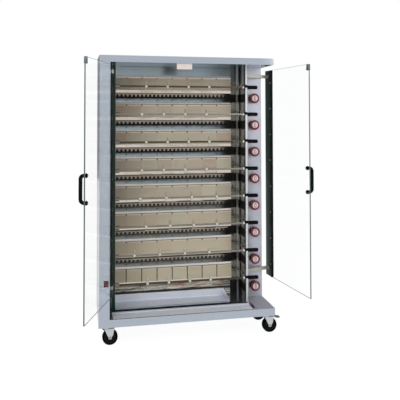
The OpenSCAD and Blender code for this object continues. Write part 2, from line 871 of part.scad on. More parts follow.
module gas_knob(k) {
    front = knob_reach;
    color("dimgray") translate([knob_x, column_y, knob_z(k)]) rotate([90, 0, 0]) {
        rotate_extrude() polygon([
            [0, knob_gap], [knob_r, knob_gap], [knob_r - 2, front - skirt], [ring_r, front - skirt],
            [ring_r, front - skirt + 6], [knob_r - 1, front - skirt + 7], [knob_r - 3, front - 2],
            [knob_r - 5, front],
            [0, front]]);
        translate([-2, 0, front - 1]) cube([4, knob_r - 7, 2.5]);
        translate([0, 0, -spindle_l + 3]) cylinder(r = spindle_r, h = spindle_l);
    }
}

// Doors, each drawn closed and then swung to where the photograph shows it
module swing_left() {
    translate([hinge_x, glass_y, 0]) rotate([0, 0, -left_open]) children();
}

module swing_right() {
    translate([pivot_x, pivot_y, 0]) rotate([0, 0, right_open])
        translate([closed_bar_x - pivot_x, glass_y - pivot_y, 0]) children();
}

module left_door_glass() {
    color("lightcyan", 0.4) swing_left()
        block([glass_start, door_w], [-glass_t / 2, glass_t / 2], [glass_low, glass_high]);
}

module catch_plate(x) {
    for (side = [-1, 1])
        block([x - catch_w / 2, x + catch_w / 2],
              side < 0 ? [-glass_t / 2 - catch_t, -glass_t / 2] : [glass_t / 2, glass_t / 2 + catch_t],
              [glass_high - catch_h, glass_high]);
}

module left_door_frame() {
    window = arm_h / 2 + face_gap;
    color("dimgray") swing_left() {
        difference() {
            union() {
                rod_z(0, 0, [glass_low, glass_high], hinge_bar_r);
                block([0, channel_l], [-hinge_bar_r, hinge_bar_r], [glass_low, glass_high]);
            }
            block([glass_start, channel_l + 1], [-glass_t / 2, glass_t / 2], [glass_low - 1, glass_high + 1]);
            for (z = arm_levels)
                block([-hinge_bar_r - 1, channel_l + 1], [-hinge_bar_r - 1, hinge_bar_r + 1],
                      [z - window, z + window]);
        }
        rod_z(0, 0, [glass_low + 1, glass_high - 1], hinge_r);
    }
    color("silver") swing_left() catch_plate(door_w - catch_w / 2);
}

// A bar bent into a D, with its feet on the glass's outer face and washers inside
module pull(x) {
    outer = -glass_t / 2;
    for (side = [-1, 1]) {
        z = pull_z + side * pull_pitch / 2;
        rod_y(x, [outer - pull_reach + pull_r, outer], z, pull_r);
        rod_y(x, [glass_t / 2, glass_t / 2 + washer_t], z, washer_r);
        translate([x, outer - pull_reach + pull_r, z]) sphere(r = pull_r);
    }
    rod_z(x, outer - pull_reach + pull_r, [pull_z - pull_pitch / 2, pull_z + pull_pitch / 2], pull_r);
}

module left_door_pull() {
    color("dimgray") swing_left() pull(door_w - pull_inset);
}

module right_door_glass() {
    color("lightcyan", 0.4) swing_right()
        block([-door_w, tail_l], [-glass_t / 2, glass_t / 2], [glass_low, glass_high]);
}

// A flat arm from the pivot rod to its clamp on the glass, in the closed door's frame
module door_arm(z) {
    rod = [pivot_x - closed_bar_x, pivot_y - glass_y];
    clamp = [clamp_back, glass_t / 2 + arm_t / 2];
    along = clamp - rod;
    side = arm_t / 2 * [-along[1], along[0]] / norm(along);
    translate([0, 0, z - arm_h / 2]) linear_extrude(arm_h)
        polygon([rod + side, rod - side, clamp - side, clamp + side]);
    rod_z(rod[0], rod[1], [z - arm_h / 2, z + arm_h / 2], pivot_r + hub_wall);
    block([clamp_back - clamp_s / 2, clamp_back + clamp_s / 2], [glass_t / 2, glass_t / 2 + arm_t],
          [z - arm_h / 2, z + arm_h / 2]);
}

module right_door_frame() {
    rod = [pivot_x - closed_bar_x, pivot_y - glass_y];
    color("dimgray") swing_right() {
        for (side = [-1, 1])
            block([-bar_w / 2, bar_w / 2],
                  side < 0 ? [-glass_t / 2 - bar_t, -glass_t / 2] : [glass_t / 2, glass_t / 2 + bar_t],
                  [glass_low, glass_high]);
        rod_z(rod[0], rod[1], [base_top - sheet - rod_end, header_z + sheet + rod_end], pivot_r);
    }
    color("silver") swing_right() {
        for (z = arm_levels) difference() {
            door_arm(z);
            rod_z(rod[0], rod[1], [z - arm_h, z + arm_h], pivot_r + run_clear);
        }
        catch_plate(-door_w + catch_w / 2);
    }
}

module right_door_pull() {
    color("dimgray") swing_right() pull(-door_w + pull_inset);
}

// Drip tray
module drip_tray() {
    low = base_top + runner_h + face_gap;
    x = [tray_x, tray_x + tray_l];
    y = [tray_y, tray_y + tray_d];
    color("gainsboro") {
        block(x, y, [low, low + tray_t]);
        block(x, [y[1] - tray_t, y[1]], [low, low + tray_back_h]);
        block(x, [y[0], y[0] + tray_t], [low, low + tray_front_h]);
        block(x, [y[0] - tray_lip, y[0]], [low + tray_front_h - tray_t, low + tray_front_h]);
        for (end = x)
            translate([end == x[0] ? end : end - tray_t, 0, low]) rotate([90, 0, 90]) linear_extrude(tray_t)
                polygon([[y[0], 0], [y[1], 0], [y[1], tray_back_h], [y[0], tray_front_h]]);
    }
}

// Castors
module castor_fork(corner) {
    braked = corner[0] > 0;
    bottom = fork_top - head_t;
    outer = leg_y + leg_t;
    color("silver") translate([swivel_x(corner), swivel_y(corner), 0]) {
        rod_z(0, 0, [bottom, fork_top], head_r);
        rod_z(0, 0, [fork_top - 1, castor_h + sheet + 1], kingpin_r);
        rod_z(0, 0, [castor_h + sheet + face_gap, castor_h + sheet + face_gap + nut_t], nut_r);
        block([-leg_back, trail + leg_front], [-outer, outer], [bottom - leg_t, bottom + 1]);
        for (side = [-1, 1]) {
            translate([0, side > 0 ? outer : -leg_y, 0]) rotate([90, 0, 0]) linear_extrude(leg_t) {
                polygon([[-leg_back, bottom + 1], [trail + leg_front, bottom + 1],
                         [trail + boss_r, wheel_r], [trail - boss_r, wheel_r]]);
                translate([trail, wheel_r]) circle(r = boss_r);
            }
            rod_y(trail, side > 0 ? [outer, outer + bolt_t] : [-outer - bolt_t, -outer], wheel_r, axle_r + 3);
        }
        rod_y(trail, [-outer - bolt_t - 1, outer + bolt_t + 1], wheel_r, axle_r);
    }
    if (braked)
        color("dimgray") translate([swivel_x(corner), swivel_y(corner) + pedal_w / 2, 0])
            rotate([90, 0, 0]) linear_extrude(pedal_w)
                polygon([[trail + leg_front - 1, bottom], [trail + leg_front - 1, bottom - pedal_t],
                         [pedal_reach - 20, 2 * wheel_r - pedal_t - 2], [pedal_reach, 2 * wheel_r - pedal_t],
                         [pedal_reach, 2 * wheel_r], [pedal_reach - 16, 2 * wheel_r + 2]]);
}

module castor_wheel(corner) {
    half = wheel_w / 2;
    hub_r = 12;
    dish = 3;
    bore = axle_r + run_clear;
    web_r = wheel_r - tread_t - dish;
    color("dimgray")
        translate([swivel_x(corner) + trail, swivel_y(corner), wheel_r]) rotate([90, 0, 0])
            rotate_extrude($fn = 96) polygon([
                [bore, -half], [hub_r, -half], [hub_r + dish, dish - half], [web_r, dish - half],
                [wheel_r - tread_t, -half], [wheel_r - 4, -half],
                [wheel_r - 1, 2 - half], [wheel_r, 6 - half],
                [wheel_r, half - 6], [wheel_r - 1, half - 2],
                [wheel_r - 4, half], [wheel_r - tread_t, half],
                [web_r, half - dish], [hub_r + dish, half - dish], [hub_r, half], [bore, half]]);
}

base_pan();
header_channel();
left_column();
right_column();
left_wall();
right_wall();
back_panel();
burner_boxes();
burner_shields();
ceramic_plaques();
drive_motor();
gas_rail();
drip_tray();
rocker_switch();
left_door_glass();
left_door_frame();
left_door_pull();
right_door_glass();
right_door_frame();
right_door_pull();
for (k = LEVELS) {
    spit(k);
    spit_grip(k);
    drive_socket(k);
    gas_knob(k);
}
for (i = [0 : 3]) {
    castor_fork(CORNERS[i]);
    castor_wheel(CORNERS[i]);
}
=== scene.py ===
"""Dresses a gas rotisserie for poultry.

It gives finishes to the sheet steel and the ceramic burners, and models the spits, grips, gas knobs, glass
doors, pulls and castors, with a plain studio round them. Everything is in metres, in the frame of the loaded
model: the front faces -Y and the floor is at Z = 0.
"""

import json
import math

import bmesh
import bpy
from bpy.props import FloatProperty, FloatVectorProperty, IntProperty, PointerProperty
from bpy.types import Operator, Panel, PropertyGroup
from mathutils import Matrix, Vector


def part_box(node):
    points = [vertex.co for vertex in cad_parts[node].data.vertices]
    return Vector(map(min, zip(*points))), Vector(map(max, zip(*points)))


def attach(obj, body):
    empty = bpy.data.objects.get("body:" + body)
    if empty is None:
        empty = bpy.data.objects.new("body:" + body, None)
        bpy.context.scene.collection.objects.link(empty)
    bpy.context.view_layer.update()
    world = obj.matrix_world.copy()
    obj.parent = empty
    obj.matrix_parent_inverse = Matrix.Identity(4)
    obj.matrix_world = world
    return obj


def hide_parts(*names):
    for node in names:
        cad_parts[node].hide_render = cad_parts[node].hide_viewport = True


bl_info = {
    "name": "Gas Rotisserie",
    "version": (1, 0, 0),
    "blender": (4, 5, 0),
    "location": "3D View > Sidebar > Rotisserie",
    "description": "Builds the finishes and the fine parts of a gas rotisserie round its loaded frame",
    "category": "Object",
}

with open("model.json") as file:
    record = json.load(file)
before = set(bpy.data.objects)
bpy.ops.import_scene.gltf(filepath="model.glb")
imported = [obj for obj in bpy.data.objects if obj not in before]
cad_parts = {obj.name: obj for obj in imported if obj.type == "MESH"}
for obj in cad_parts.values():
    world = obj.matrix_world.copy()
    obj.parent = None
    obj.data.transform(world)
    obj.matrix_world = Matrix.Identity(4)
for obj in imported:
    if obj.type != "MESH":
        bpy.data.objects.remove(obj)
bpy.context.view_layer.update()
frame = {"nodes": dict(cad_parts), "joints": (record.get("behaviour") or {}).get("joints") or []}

X, Y, Z = Vector((1, 0, 0)), Vector((0, 1, 0)), Vector((0, 0, 1))
LEVELS = range(1, 9)
CORNERS = ("front_left", "front_right", "rear_left", "rear_right")

# Burners and shields
SHEET = 0.0015
TILES = 8
TILE_JOINT = 0.0008
NOTCH_PITCH = 0.029

# How far screw heads and bolt washers are sunk into what they stand on
HEAD_SINK = 0.0004
BOLT_SINK = 0.0003

# Spits: the first fork's place, the thin end inside the grip, and how single rows differ
FIRST_FORK = 0.174
STUB = 0.066
JOURNAL_INSET = 0.012
COLLAR_RADIUS = 0.011
FORK_SHIFT = (0.010, -0.020, 0.010, -0.020, -0.030, 0.010, -0.070, 0.020)
FORK_SPREAD = (-0.003, 0, -0.003, 0, 0.028, 0.015, 0.023, -0.004)
DARK_BARS = (1, 3, 8)
BRIGHT_SCREWS = (7, 8)

# Doors: the right bar's place when closed, the gap between the doors, arms, pulls and catch plates
CLOSED_BAR_X = 0.452
DOOR_GAP = 0.004
LOWER_ARM = 0.058
UPPER_ARM = 0.045
ARM_HALF_HEIGHT = 0.012
PULL_INSET = 0.034
PULL_HALF_HEIGHT = 0.088
CATCH_HALF_WIDTH = 0.012
BEYOND_BAR = 0.080

# Castors: the axle's distance from the swivel's axis, and its radius
CASTOR_TRAIL = 0.027
AXLE_RADIUS = 0.004


def middle(node):
    """The middle of a node's box at rest."""
    low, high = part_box(node)
    return (Vector(low) + Vector(high)) / 2


def srgb(red, green, blue):
    """A colour read from 0 to 255 on a screen, in the linear numbers that Blender works with."""
    parts = [step / 255 for step in (red, green, blue)]
    return tuple(part / 12.92 if part < 0.0405 else ((part + 0.055) / 1.055) ** 2.4 for part in parts)


def joint(name):
    """A joint of the frame by its name."""
    return next(found for found in frame["joints"] if found["name"] == name)


# Places that several pieces share, read from the frame
BASE_LOW, BASE_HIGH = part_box("base_pan")
COLUMN_LOW, COLUMN_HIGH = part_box("right_column")
WALL_LOW, WALL_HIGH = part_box("right_wall")
TILE_LOW, TILE_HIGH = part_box("ceramic_plaques")
GRIP_LOW, GRIP_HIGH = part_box("spit_grip_1")
GLASS_LOW, GLASS_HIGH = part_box("left_door_glass")
SOCKET_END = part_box("drive_socket_1")[1].x
SPIT_Y = middle("drive_socket_1").y
SPIT_TOP = middle("drive_socket_1").z
LEVEL_PITCH = SPIT_TOP - middle("drive_socket_2").z
BASE_TOP = COLUMN_LOW.z
HEADER_FOOT = COLUMN_HIGH.z
LEFT_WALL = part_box("back_panel")[0].x
BACK_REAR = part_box("back_panel")[1].y
SHIELD_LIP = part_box("burner_shields")[0].y
SHIELD_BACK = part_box("burner_shields")[1].y - SHEET
TRAY_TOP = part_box("drip_tray")[1].z
TRAY_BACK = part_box("drip_tray")[1].y
HINGE = Vector(joint("left_door_swing")["pos_m"])
PIVOT = Vector(joint("right_door_swing")["pos_m"])
LEFT_OPEN = joint("left_door_swing")["range_deg"][1]
RIGHT_OPEN = -joint("right_door_swing")["range_deg"][0]


# Mesh work
def circle(centre, radius, side, other, steps):
    """Points round a centre, in the plane of two directions."""
    turns = [2 * math.pi * i / steps for i in range(steps)]
    return [centre + radius * (math.cos(turn) * side + math.sin(turn) * other) for turn in turns]


def ring(centre, axis, radius, steps):
    """Points round an axis, from its own first side direction."""
    if abs(axis.x) > 0.9:
        side = Y
    elif abs(axis.z) > 0.9:
        side = X
    else:
        side = axis.orthogonal().normalized()
    return circle(centre, radius, side, axis.cross(side).normalized(), steps)


def skin(bm, rings, finish=0, caps=(True, True)):
    """Quads between rings of points, with their ends filled. The finish is one number, or a list: one for the
    first end, one for each ring after it and, where it differs, one for the last end."""
    finishes = [finish] * len(rings) if isinstance(finish, int) else finish
    rows = [[bm.verts.new(point) for point in points] for points in rings]
    for low, high, index in zip(rows, rows[1:], finishes[1:]):
        for i in range(len(low)):
            j = (i + 1) % len(low)
            bm.faces.new((low[i], low[j], high[j], high[i])).material_index = index
    for row, wanted, index in ((rows[0][::-1], caps[0], finishes[0]), (rows[-1], caps[1], finishes[-1])):
        if wanted:
            bm.faces.new(row).material_index = index


def lathe(bm, start, axis, profile, finish=0, steps=32, caps=(True, True)):
    """A turned form: profile is a list of (distance along the axis, radius) or (distance, radius, finish)."""
    rings = [ring(start + axis * step[0], axis, step[1], steps) for step in profile]
    skin(bm, rings, [step[2] if len(step) > 2 else finish for step in profile], caps)


def round_bar(length, radius, soft):
    """The profile of a round bar whose ends are softened."""
    return [(0, radius - soft), (soft, radius), (length - soft, radius), (length, radius - soft)]


def fluted(bm, start, axis, profile, flutes, depth, finish, per_flute):
    """A turned form whose side is cut with flutes. Its axis stands across X."""
    steps = flutes * per_flute
    side, other = X, axis.cross(X)
    rings = []
    for distance, radius in profile:
        points = []
        for i in range(steps):
            angle = 2 * math.pi * i / steps
            cut = radius - depth * (0.5 - 0.5 * math.cos(flutes * angle))
            points.append(start + axis * distance + cut * (math.cos(angle) * side + math.sin(angle) * other))
        rings.append(points)
    skin(bm, rings, finish)


def sweep(bm, path, radius, steps):
    """A round bar bent along a path."""
    points = [Vector(point) for point in path]
    rings, normal = [], None
    for i, point in enumerate(points):
        ahead = points[min(i + 1, len(points) - 1)] - points[max(i - 1, 0)]
        ahead.normalize()
        if normal is None:
            normal = ahead.orthogonal().normalized()
        normal = (normal - normal.dot(ahead) * ahead).normalized()
        rings.append(circle(point, radius, normal, ahead.cross(normal), steps))
    skin(bm, rings)


def brick(bm, low, high, soft, finish=0):
    """A box with its edges taken off, added to a mesh."""
    made = bmesh.ops.create_cube(bm, size=1.0)["verts"]
    for vert in made:
        vert.co = Vector((low[i] if vert.co[i] < 0 else high[i]) for i in range(3))
    for face in {face for vert in made for face in vert.link_faces}:
        face.material_index = finish
    edges = list({edge for vert in made for edge in vert.link_edges})
    bmesh.ops.bevel(bm, geom=edges, offset=soft, segments=2, profile=0.6, affect="EDGES", material=finish)


def slab(bm, outline, axis, low, high, soft, finish=0):
    """A plate cut to an outline in the plane across an axis, with softened rims."""
    i, j = [n for n in range(3) if n != axis]

    def place(point, height):
        """A point of the plane, lifted along the axis."""
        spot = [0.0, 0.0, 0.0]
        spot[i], spot[j], spot[axis] = point[0], point[1], height
        return Vector(spot)

    centre = Vector([sum(point[n] for point in outline) / len(outline) for n in (0, 1)])
    inner = [Vector(point) + (centre - Vector(point)).normalized() * soft for point in outline]
    layers = ((inner, low), (outline, low + soft), (outline, high - soft), (inner, high))
    skin(bm, [[place(point, height) for point in shape] for shape, height in layers], finish)


def arc(centre, radius, first, last, steps):
    """Points on an arc in a plane, angles in degrees."""
    turns = [math.radians(first + (last - first) * n / steps) for n in range(steps + 1)]
    return [(centre[0] + radius * math.cos(turn), centre[1] + radius * math.sin(turn)) for turn in turns]


def screw_head(bm, spot, out, radius, finish=0):
    """A domed screw head with a hexagonal recess, standing out along a direction."""
    crown, mouth = radius * 0.76, radius * 0.5
    dome = [(0, radius), (radius * 0.35, radius * 0.98), (radius * 0.62, radius * 0.8), (crown, mouth)]
    lathe(bm, spot - out * HEAD_SINK, out, dome, finish, 20, (True, False))
    rim = ring(spot + out * (crown - HEAD_SINK), out, mouth, 6)
    floor = ring(spot + out * (radius * 0.3 - HEAD_SINK), out, mouth, 6)
    skin(bm, [rim, floor], finish, (False, True))


def hex_bolt(bm, spot, out, radius, height, finish):
    """A hexagon bolt head on its washer."""
    washer = [(0, radius * 1.35), (radius * 0.18, radius * 1.35), (radius * 0.24, radius * 1.2)]
    lathe(bm, spot - out * BOLT_SINK, out, washer, finish, 24)
    base = radius * 0.2
    sizes = ((base, radius), (base + height * 0.8, radius), (base + height, radius * 0.86))
    skin(bm, [ring(spot + out * level, out, size, 6) for level, size in sizes], finish)


def finished(name, bm, finishes, body, replaces=(), smooth=35.0, matrix=None):
    """Turns a bmesh into a piece with its finishes, its body and the nodes that it stands for."""
    bmesh.ops.remove_doubles(bm, verts=bm.verts, dist=1e-7)
    bmesh.ops.recalc_face_normals(bm, faces=bm.faces)
    if matrix is not None:
        bm.transform(matrix)
    mesh = bpy.data.meshes.new(name)
    bm.to_mesh(mesh)
    bm.free()
    for finish in finishes:
        mesh.materials.append(look(finish))
    mesh.shade_smooth()
    mesh.set_sharp_from_angle(angle=math.radians(smooth))
    piece = bpy.data.objects.new(name, mesh)
    bpy.context.scene.collection.objects.link(piece)
    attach(piece, body)
    if replaces:
        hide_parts(*replaces)


def dress(node, finish):
    """Gives a frame node its finish."""
    slots = frame["nodes"][node].data.materials
    if len(slots) == 0:
        slots.append(look(finish))
    for n in range(len(slots)):
        slots[n] = look(finish)


# Shader work
def put(tree, kind, inputs=None, **settings):
    """Adds a shader node, sets its own settings, and sets or links its inputs."""
    node = tree.nodes.new("ShaderNode" + kind)
    for name, value in settings.items():
        setattr(node, name, value)
    for key, value in (inputs or {}).items():
        if isinstance(value, bpy.types.NodeSocket):
            tree.links.new(value, node.inputs[key])
        else:
            node.inputs[key].default_value = value
    return node


def calc(tree, operation, first, second=0.5, clamp=False):
    """The result of a Math node, which takes one value or two."""
    return put(tree, "Math", {0: first, 1: second}, operation=operation, use_clamp=clamp).outputs[0]


def mixed(tree, factor, first, second, kind="MIX"):
    """The colour that a Mix node puts out."""
    return put(tree, "Mix", {0: factor, 6: first, 7: second}, data_type="RGBA", blend_type=kind).outputs[2]


def spread(tree, value, low, high, to_low=0.0, to_high=1.0, smooth=False):
    """A value moved from one span to another."""
    kind = "SMOOTHSTEP" if smooth else "LINEAR"
    inputs = {0: value, 1: low, 2: high, 3: to_low, 4: to_high}
    return put(tree, "MapRange", inputs, interpolation_type=kind).outputs[0]


def vector_calc(tree, operation, first, second):
    """The vector that a Vector Math node puts out."""
    return put(tree, "VectorMath", {0: first, 1: second}, operation=operation).outputs[0]


def noise(tree, place, scale, detail, **more):
    """The grey value of a noise texture."""
    return put(tree, "TexNoise", {"Vector": place, "Scale": scale, "Detail": detail, **more}).outputs["Fac"]


def apart(tree, place):
    """The three parts of a place."""
    return put(tree, "SeparateXYZ", {0: place}).outputs


def rgba(colour):
    """A colour with full opacity, as a colour socket takes it."""
    return (*colour[:3], 1.0)


PLACE = ("Place", "Vector", (0, 0, 0))


def new_group(name, inputs, outputs):
    """A shader group with named sockets. Gives back the group, its inputs as outputs, and its own outputs."""
    group = bpy.data.node_groups.new(name, "ShaderNodeTree")
    add = group.interface.new_socket
    for label, kind, value in inputs:
        add(label, in_out="INPUT", socket_type="NodeSocket" + kind).default_value = value
    for label, kind in outputs:
        add(label, in_out="OUTPUT", socket_type="NodeSocket" + kind)
    return group, group.nodes.new("NodeGroupInput").outputs, group.nodes.new("NodeGroupOutput").inputs


def use(tree, name, inputs):
    """Places a shared group in a material, building it the first time. Gives back its outputs."""
    if name not in bpy.data.node_groups:
        EFFECTS[name]()
    return put(tree, "Group", inputs, node_tree=bpy.data.node_groups[name]).outputs


def build_brushed_grain():
    """Fine lines drawn out by the stretch, with broader ones among them."""
    group, given, made = new_group(
        "Brushed Grain", [PLACE, ("Stretch", "Vector", (6, 900, 900)), ("Strength", "Float", 1.0)],
        [("Tone", "Float"), ("Height", "Float")])
    place = vector_calc(group, "MULTIPLY", given["Place"], given["Stretch"])
    fine = noise(group, place, 1.0, 3.0, Roughness=0.65)
    broad = noise(group, vector_calc(group, "MULTIPLY", place, (0.35, 0.12, 0.12)), 1.0, 2.0)
    both = calc(group, "ADD", calc(group, "MULTIPLY", fine, 0.65), calc(group, "MULTIPLY", broad, 0.35))
    swing = calc(group, "SUBTRACT", both, 0.5)
    group.links.new(calc(group, "MULTIPLY", swing, given["Strength"]), made["Tone"])
    group.links.new(calc(group, "MULTIPLY", fine, given["Strength"]), made["Height"])


def build_smudges():
    """Patches over a share of the surface, whole in one output and broken up in the other."""
    group, given, made = new_group(
        "Smudges", [PLACE, ("Scale", "Float", 3.0), ("Cover", "Float", 0.5)],
        [("Mask", "Float"), ("Patches", "Float")])
    wide = noise(group, given["Place"], given["Scale"], 4.0, Roughness=0.6, Distortion=0.6)
    small = noise(group, given["Place"], calc(group, "MULTIPLY", given["Scale"], 9.0), 3.0)
    edge = calc(group, "SUBTRACT", 1.0, given["Cover"])
    patches = spread(group, wide, calc(group, "SUBTRACT", edge, 0.12), calc(group, "ADD", edge, 0.12),
                     smooth=True)
    broken = calc(group, "MULTIPLY", patches, spread(group, small, 0.35, 0.65, 0.4, 1.0))
    group.links.new(broken, made["Mask"])
    group.links.new(patches, made["Patches"])


def build_heat_tint():
    """A colour tinted from straw through brown and purple to blue as the mask grows."""
    group, given, made = new_group(
        "Heat Tint", [("Colour", "Color", (0.5, 0.5, 0.5, 1)), ("Mask", "Float", 0.0)], [("Colour", "Color")])
    ramp = put(group, "ValToRGB", {"Fac": given["Mask"]})
    ramp.color_ramp.elements[0].color = (1, 1, 1, 1)
    ramp.color_ramp.elements[1].color = (0.42, 0.47, 0.62, 1)
    straw, brown, purple = (0.96, 0.86, 0.66, 1), (0.8, 0.58, 0.4, 1), (0.52, 0.4, 0.44, 1)
    for spot, colour in ((0.35, straw), (0.6, brown), (0.8, purple)):
        ramp.color_ramp.elements.new(spot).color = colour
    group.links.new(mixed(group, 1.0, given["Colour"], ramp.outputs[0], "MULTIPLY"), made["Colour"])


def build_fine_pitting():
    """A fine grainy skin."""
    group, given, made = new_group(
        "Fine Pitting", [PLACE, ("Scale", "Float", 900.0), ("Strength", "Float", 1.0)],
        [("Height", "Float"), ("Tone", "Float")])
    inputs = {"Vector": given["Place"], "Scale": given["Scale"]}
    cells = put(group, "TexVoronoi", inputs).outputs["Distance"]
    cloud = noise(group, given["Place"], calc(group, "MULTIPLY", given["Scale"], 0.4), 3.0)
    height = calc(group, "MULTIPLY", calc(group, "ADD", cells, cloud), given["Strength"])
    tone = calc(group, "MULTIPLY", calc(group, "SUBTRACT", cloud, 0.5), given["Strength"])
    group.links.new(height, made["Height"])
    group.links.new(tone, made["Tone"])


def build_edge_wear():
    """A broken line along outer edges."""
    group, given, made = new_group(
        "Edge Wear", [PLACE, ("Width", "Float", 0.0015), ("Amount", "Float", 0.5)], [("Mask", "Float")])
    rounded = put(group, "Bevel", {"Radius": given["Width"]}, samples=4).outputs[0]
    true = put(group, "NewGeometry").outputs["Normal"]
    dot = put(group, "VectorMath", {0: rounded, 1: true}, operation="DOT_PRODUCT").outputs["Value"]
    edge = spread(group, dot, 0.995, 0.85)
    broken = calc(group, "MULTIPLY", edge, spread(group, noise(group, given["Place"], 60.0, 4.0), 0.4, 0.65))
    group.links.new(calc(group, "MULTIPLY", broken, given["Amount"]), made["Mask"])


def build_cell_tones():
    """A tone for each cell of a regular row, such as one ceramic plaque."""
    group, given, made = new_group(
        "Cell Tones", [PLACE, ("Start", "Vector", (0, 0, 0)), ("Pitch", "Vector", (1, 1, 1))],
        [("Tone", "Float"), ("Second Tone", "Float")])
    offset = vector_calc(group, "SUBTRACT", given["Place"], given["Start"])
    cell = vector_calc(group, "DIVIDE", offset, given["Pitch"])
    cell = put(group, "VectorMath", {0: cell}, operation="FLOOR").outputs[0]
    chance = put(group, "TexWhiteNoise", {"Vector": cell}, noise_dimensions="3D")
    second = put(group, "SeparateColor", {0: chance.outputs["Color"]}).outputs[1]
    group.links.new(chance.outputs["Value"], made["Tone"])
    group.links.new(second, made["Second Tone"])


def build_level_bands():
    """A soft band that comes back below every spit, between two distances from its axis."""
    group, given, made = new_group(
        "Level Bands", [PLACE, ("Top", "Float", 0.0), ("Pitch", "Float", 1.0), ("From", "Float", 0.05),
                        ("To", "Float", 0.1), ("Fade", "Float", 0.004)], [("Mask", "Float")])
    below = calc(group, "SUBTRACT", given["Top"], apart(group, given["Place"])[2])
    drop = calc(group, "FLOORED_MODULO", below, given["Pitch"])
    rough = calc(group, "SUBTRACT", noise(group, given["Place"], 45.0, 3.0), 0.5)
    drop = calc(group, "ADD", drop, calc(group, "MULTIPLY", rough, given["Fade"]))
    start = spread(group, drop, given["From"], calc(group, "ADD", given["From"], given["Fade"]), smooth=True)
    leave = calc(group, "SUBTRACT", given["To"], given["Fade"])
    end = spread(group, drop, leave, given["To"], 1.0, 0.0, True)
    inside = calc(group, "MULTIPLY", start, end)
    under_first = calc(group, "GREATER_THAN", below, 0.0)
    group.links.new(calc(group, "MULTIPLY", inside, under_first), made["Mask"])


def build_notch_shadows():
    """An upright oval at each place of a row that comes back below every spit."""
    group, given, made = new_group(
        "Notch Shadows", [PLACE, ("Start", "Float", 0.0), ("Pitch", "Float", 0.03), ("Top", "Float", 0.0),
                          ("Level Pitch", "Float", 1.0), ("Drop", "Float", 0.06),
                          ("Half Width", "Float", 0.005), ("Half Height", "Float", 0.008)],
        [("Mask", "Float")])
    parts = apart(group, given["Place"])
    turns = calc(group, "DIVIDE", calc(group, "SUBTRACT", parts[0], given["Start"]), given["Pitch"])
    along = calc(group, "MULTIPLY", calc(group, "PINGPONG", turns, 0.5), given["Pitch"])
    along = calc(group, "DIVIDE", along, given["Half Width"])
    below = calc(group, "SUBTRACT", given["Top"], parts[2])
    drop = calc(group, "FLOORED_MODULO", below, given["Level Pitch"])
    down = calc(group, "DIVIDE", calc(group, "SUBTRACT", drop, given["Drop"]), given["Half Height"])
    reach = calc(group, "ADD", calc(group, "MULTIPLY", along, along), calc(group, "MULTIPLY", down, down))
    group.links.new(spread(group, reach, 0.8, 1.25, 1.0, 0.0, True), made["Mask"])


EFFECTS = {"Brushed Grain": build_brushed_grain, "Smudges": build_smudges, "Heat Tint": build_heat_tint,
           "Fine Pitting": build_fine_pitting, "Edge Wear": build_edge_wear, "Cell Tones": build_cell_tones,
           "Level Bands": build_level_bands, "Notch Shadows": build_notch_shadows}


def new_material(name, metallic=0.0, roughness=0.5, **fixed):
    """A material with one Principled shader, its fixed values set on the shader itself."""
    material = bpy.data.materials.new(name)
    material.use_nodes = True
    tree = material.node_tree
    shader = tree.nodes["Principled BSDF"]
    shader.inputs["Metallic"].default_value = metallic
    shader.inputs["Roughness"].default_value = roughness
    for label, value in fixed.items():
        shader.inputs[label.replace("_", " ")].default_value = value
    place = put(tree, "TexCoord").outputs["Object"]
    return material, tree, shader, place


def bump(tree, shader, height, strength, distance):
    """Lets a height stand out of the surface."""
    normal = put(tree, "Bump", {"Height": height, "Strength": strength, "Distance": distance}).outputs[0]
    tree.links.new(normal, shader.inputs["Normal"])


def toned(tree, colour, value):
    """A colour made lighter or darker by a value round one."""
    return put(tree, "HueSaturation", {"Value": value, "Color": colour}).outputs[0]


# How strongly grain, pitting and smudges change a finish's tone and roughness
GRAIN_TONE, PITTING_TONE, SMUDGE_TONE = 0.5, 0.35, 0.1
GRAIN_ROUGHNESS, SMUDGE_ROUGHNESS, MOULDED_SMUDGE_ROUGHNESS = 0.12, 0.12, 0.14
GRAIN_DEPTH, PITTING_DEPTH, CERAMIC_DEPTH = 0.0002, 0.00015, 0.0006


def steel_finish(name, colour, stretch, roughness, grain, soil, soil_scale, tint=0.0, metallic=0.9,
                 relief=0.25, dull=0.5):
    """Sheet or bar steel: brushed grain, handling smudges, and straw to blue heat tint near the burners."""
    material, tree, shader, place = new_material(name, metallic, roughness, Specular_IOR_Level=0.1)
    brushed = use(tree, "Brushed Grain", {"Place": place, "Stretch": stretch, "Strength": grain})
    marks = use(tree, "Smudges", {"Place": place, "Scale": soil_scale, "Cover": soil})
    value = calc(tree, "ADD", 1.0, calc(tree, "MULTIPLY", brushed["Tone"], GRAIN_TONE))
    value = calc(tree, "SUBTRACT", value, calc(tree, "MULTIPLY", marks["Mask"], SMUDGE_TONE * dull))
    base = toned(tree, rgba(colour), value)
    if tint:
        heat = use(tree, "Smudges", {"Place": place, "Scale": soil_scale * 0.7, "Cover": 0.5})["Mask"]
        heat = calc(tree, "MULTIPLY", heat, tint)
        base = use(tree, "Heat Tint", {"Colour": base, "Mask": heat})["Colour"]
    tree.links.new(base, shader.inputs["Base Color"])
    rough = calc(tree, "ADD", roughness, calc(tree, "MULTIPLY", marks["Mask"], SMUDGE_ROUGHNESS * dull))
    uneven = calc(tree, "MULTIPLY", brushed["Tone"], GRAIN_ROUGHNESS)
    tree.links.new(calc(tree, "ADD", rough, uneven, clamp=True), shader.inputs["Roughness"])
    bump(tree, shader, brushed["Height"], relief, GRAIN_DEPTH)
    return material


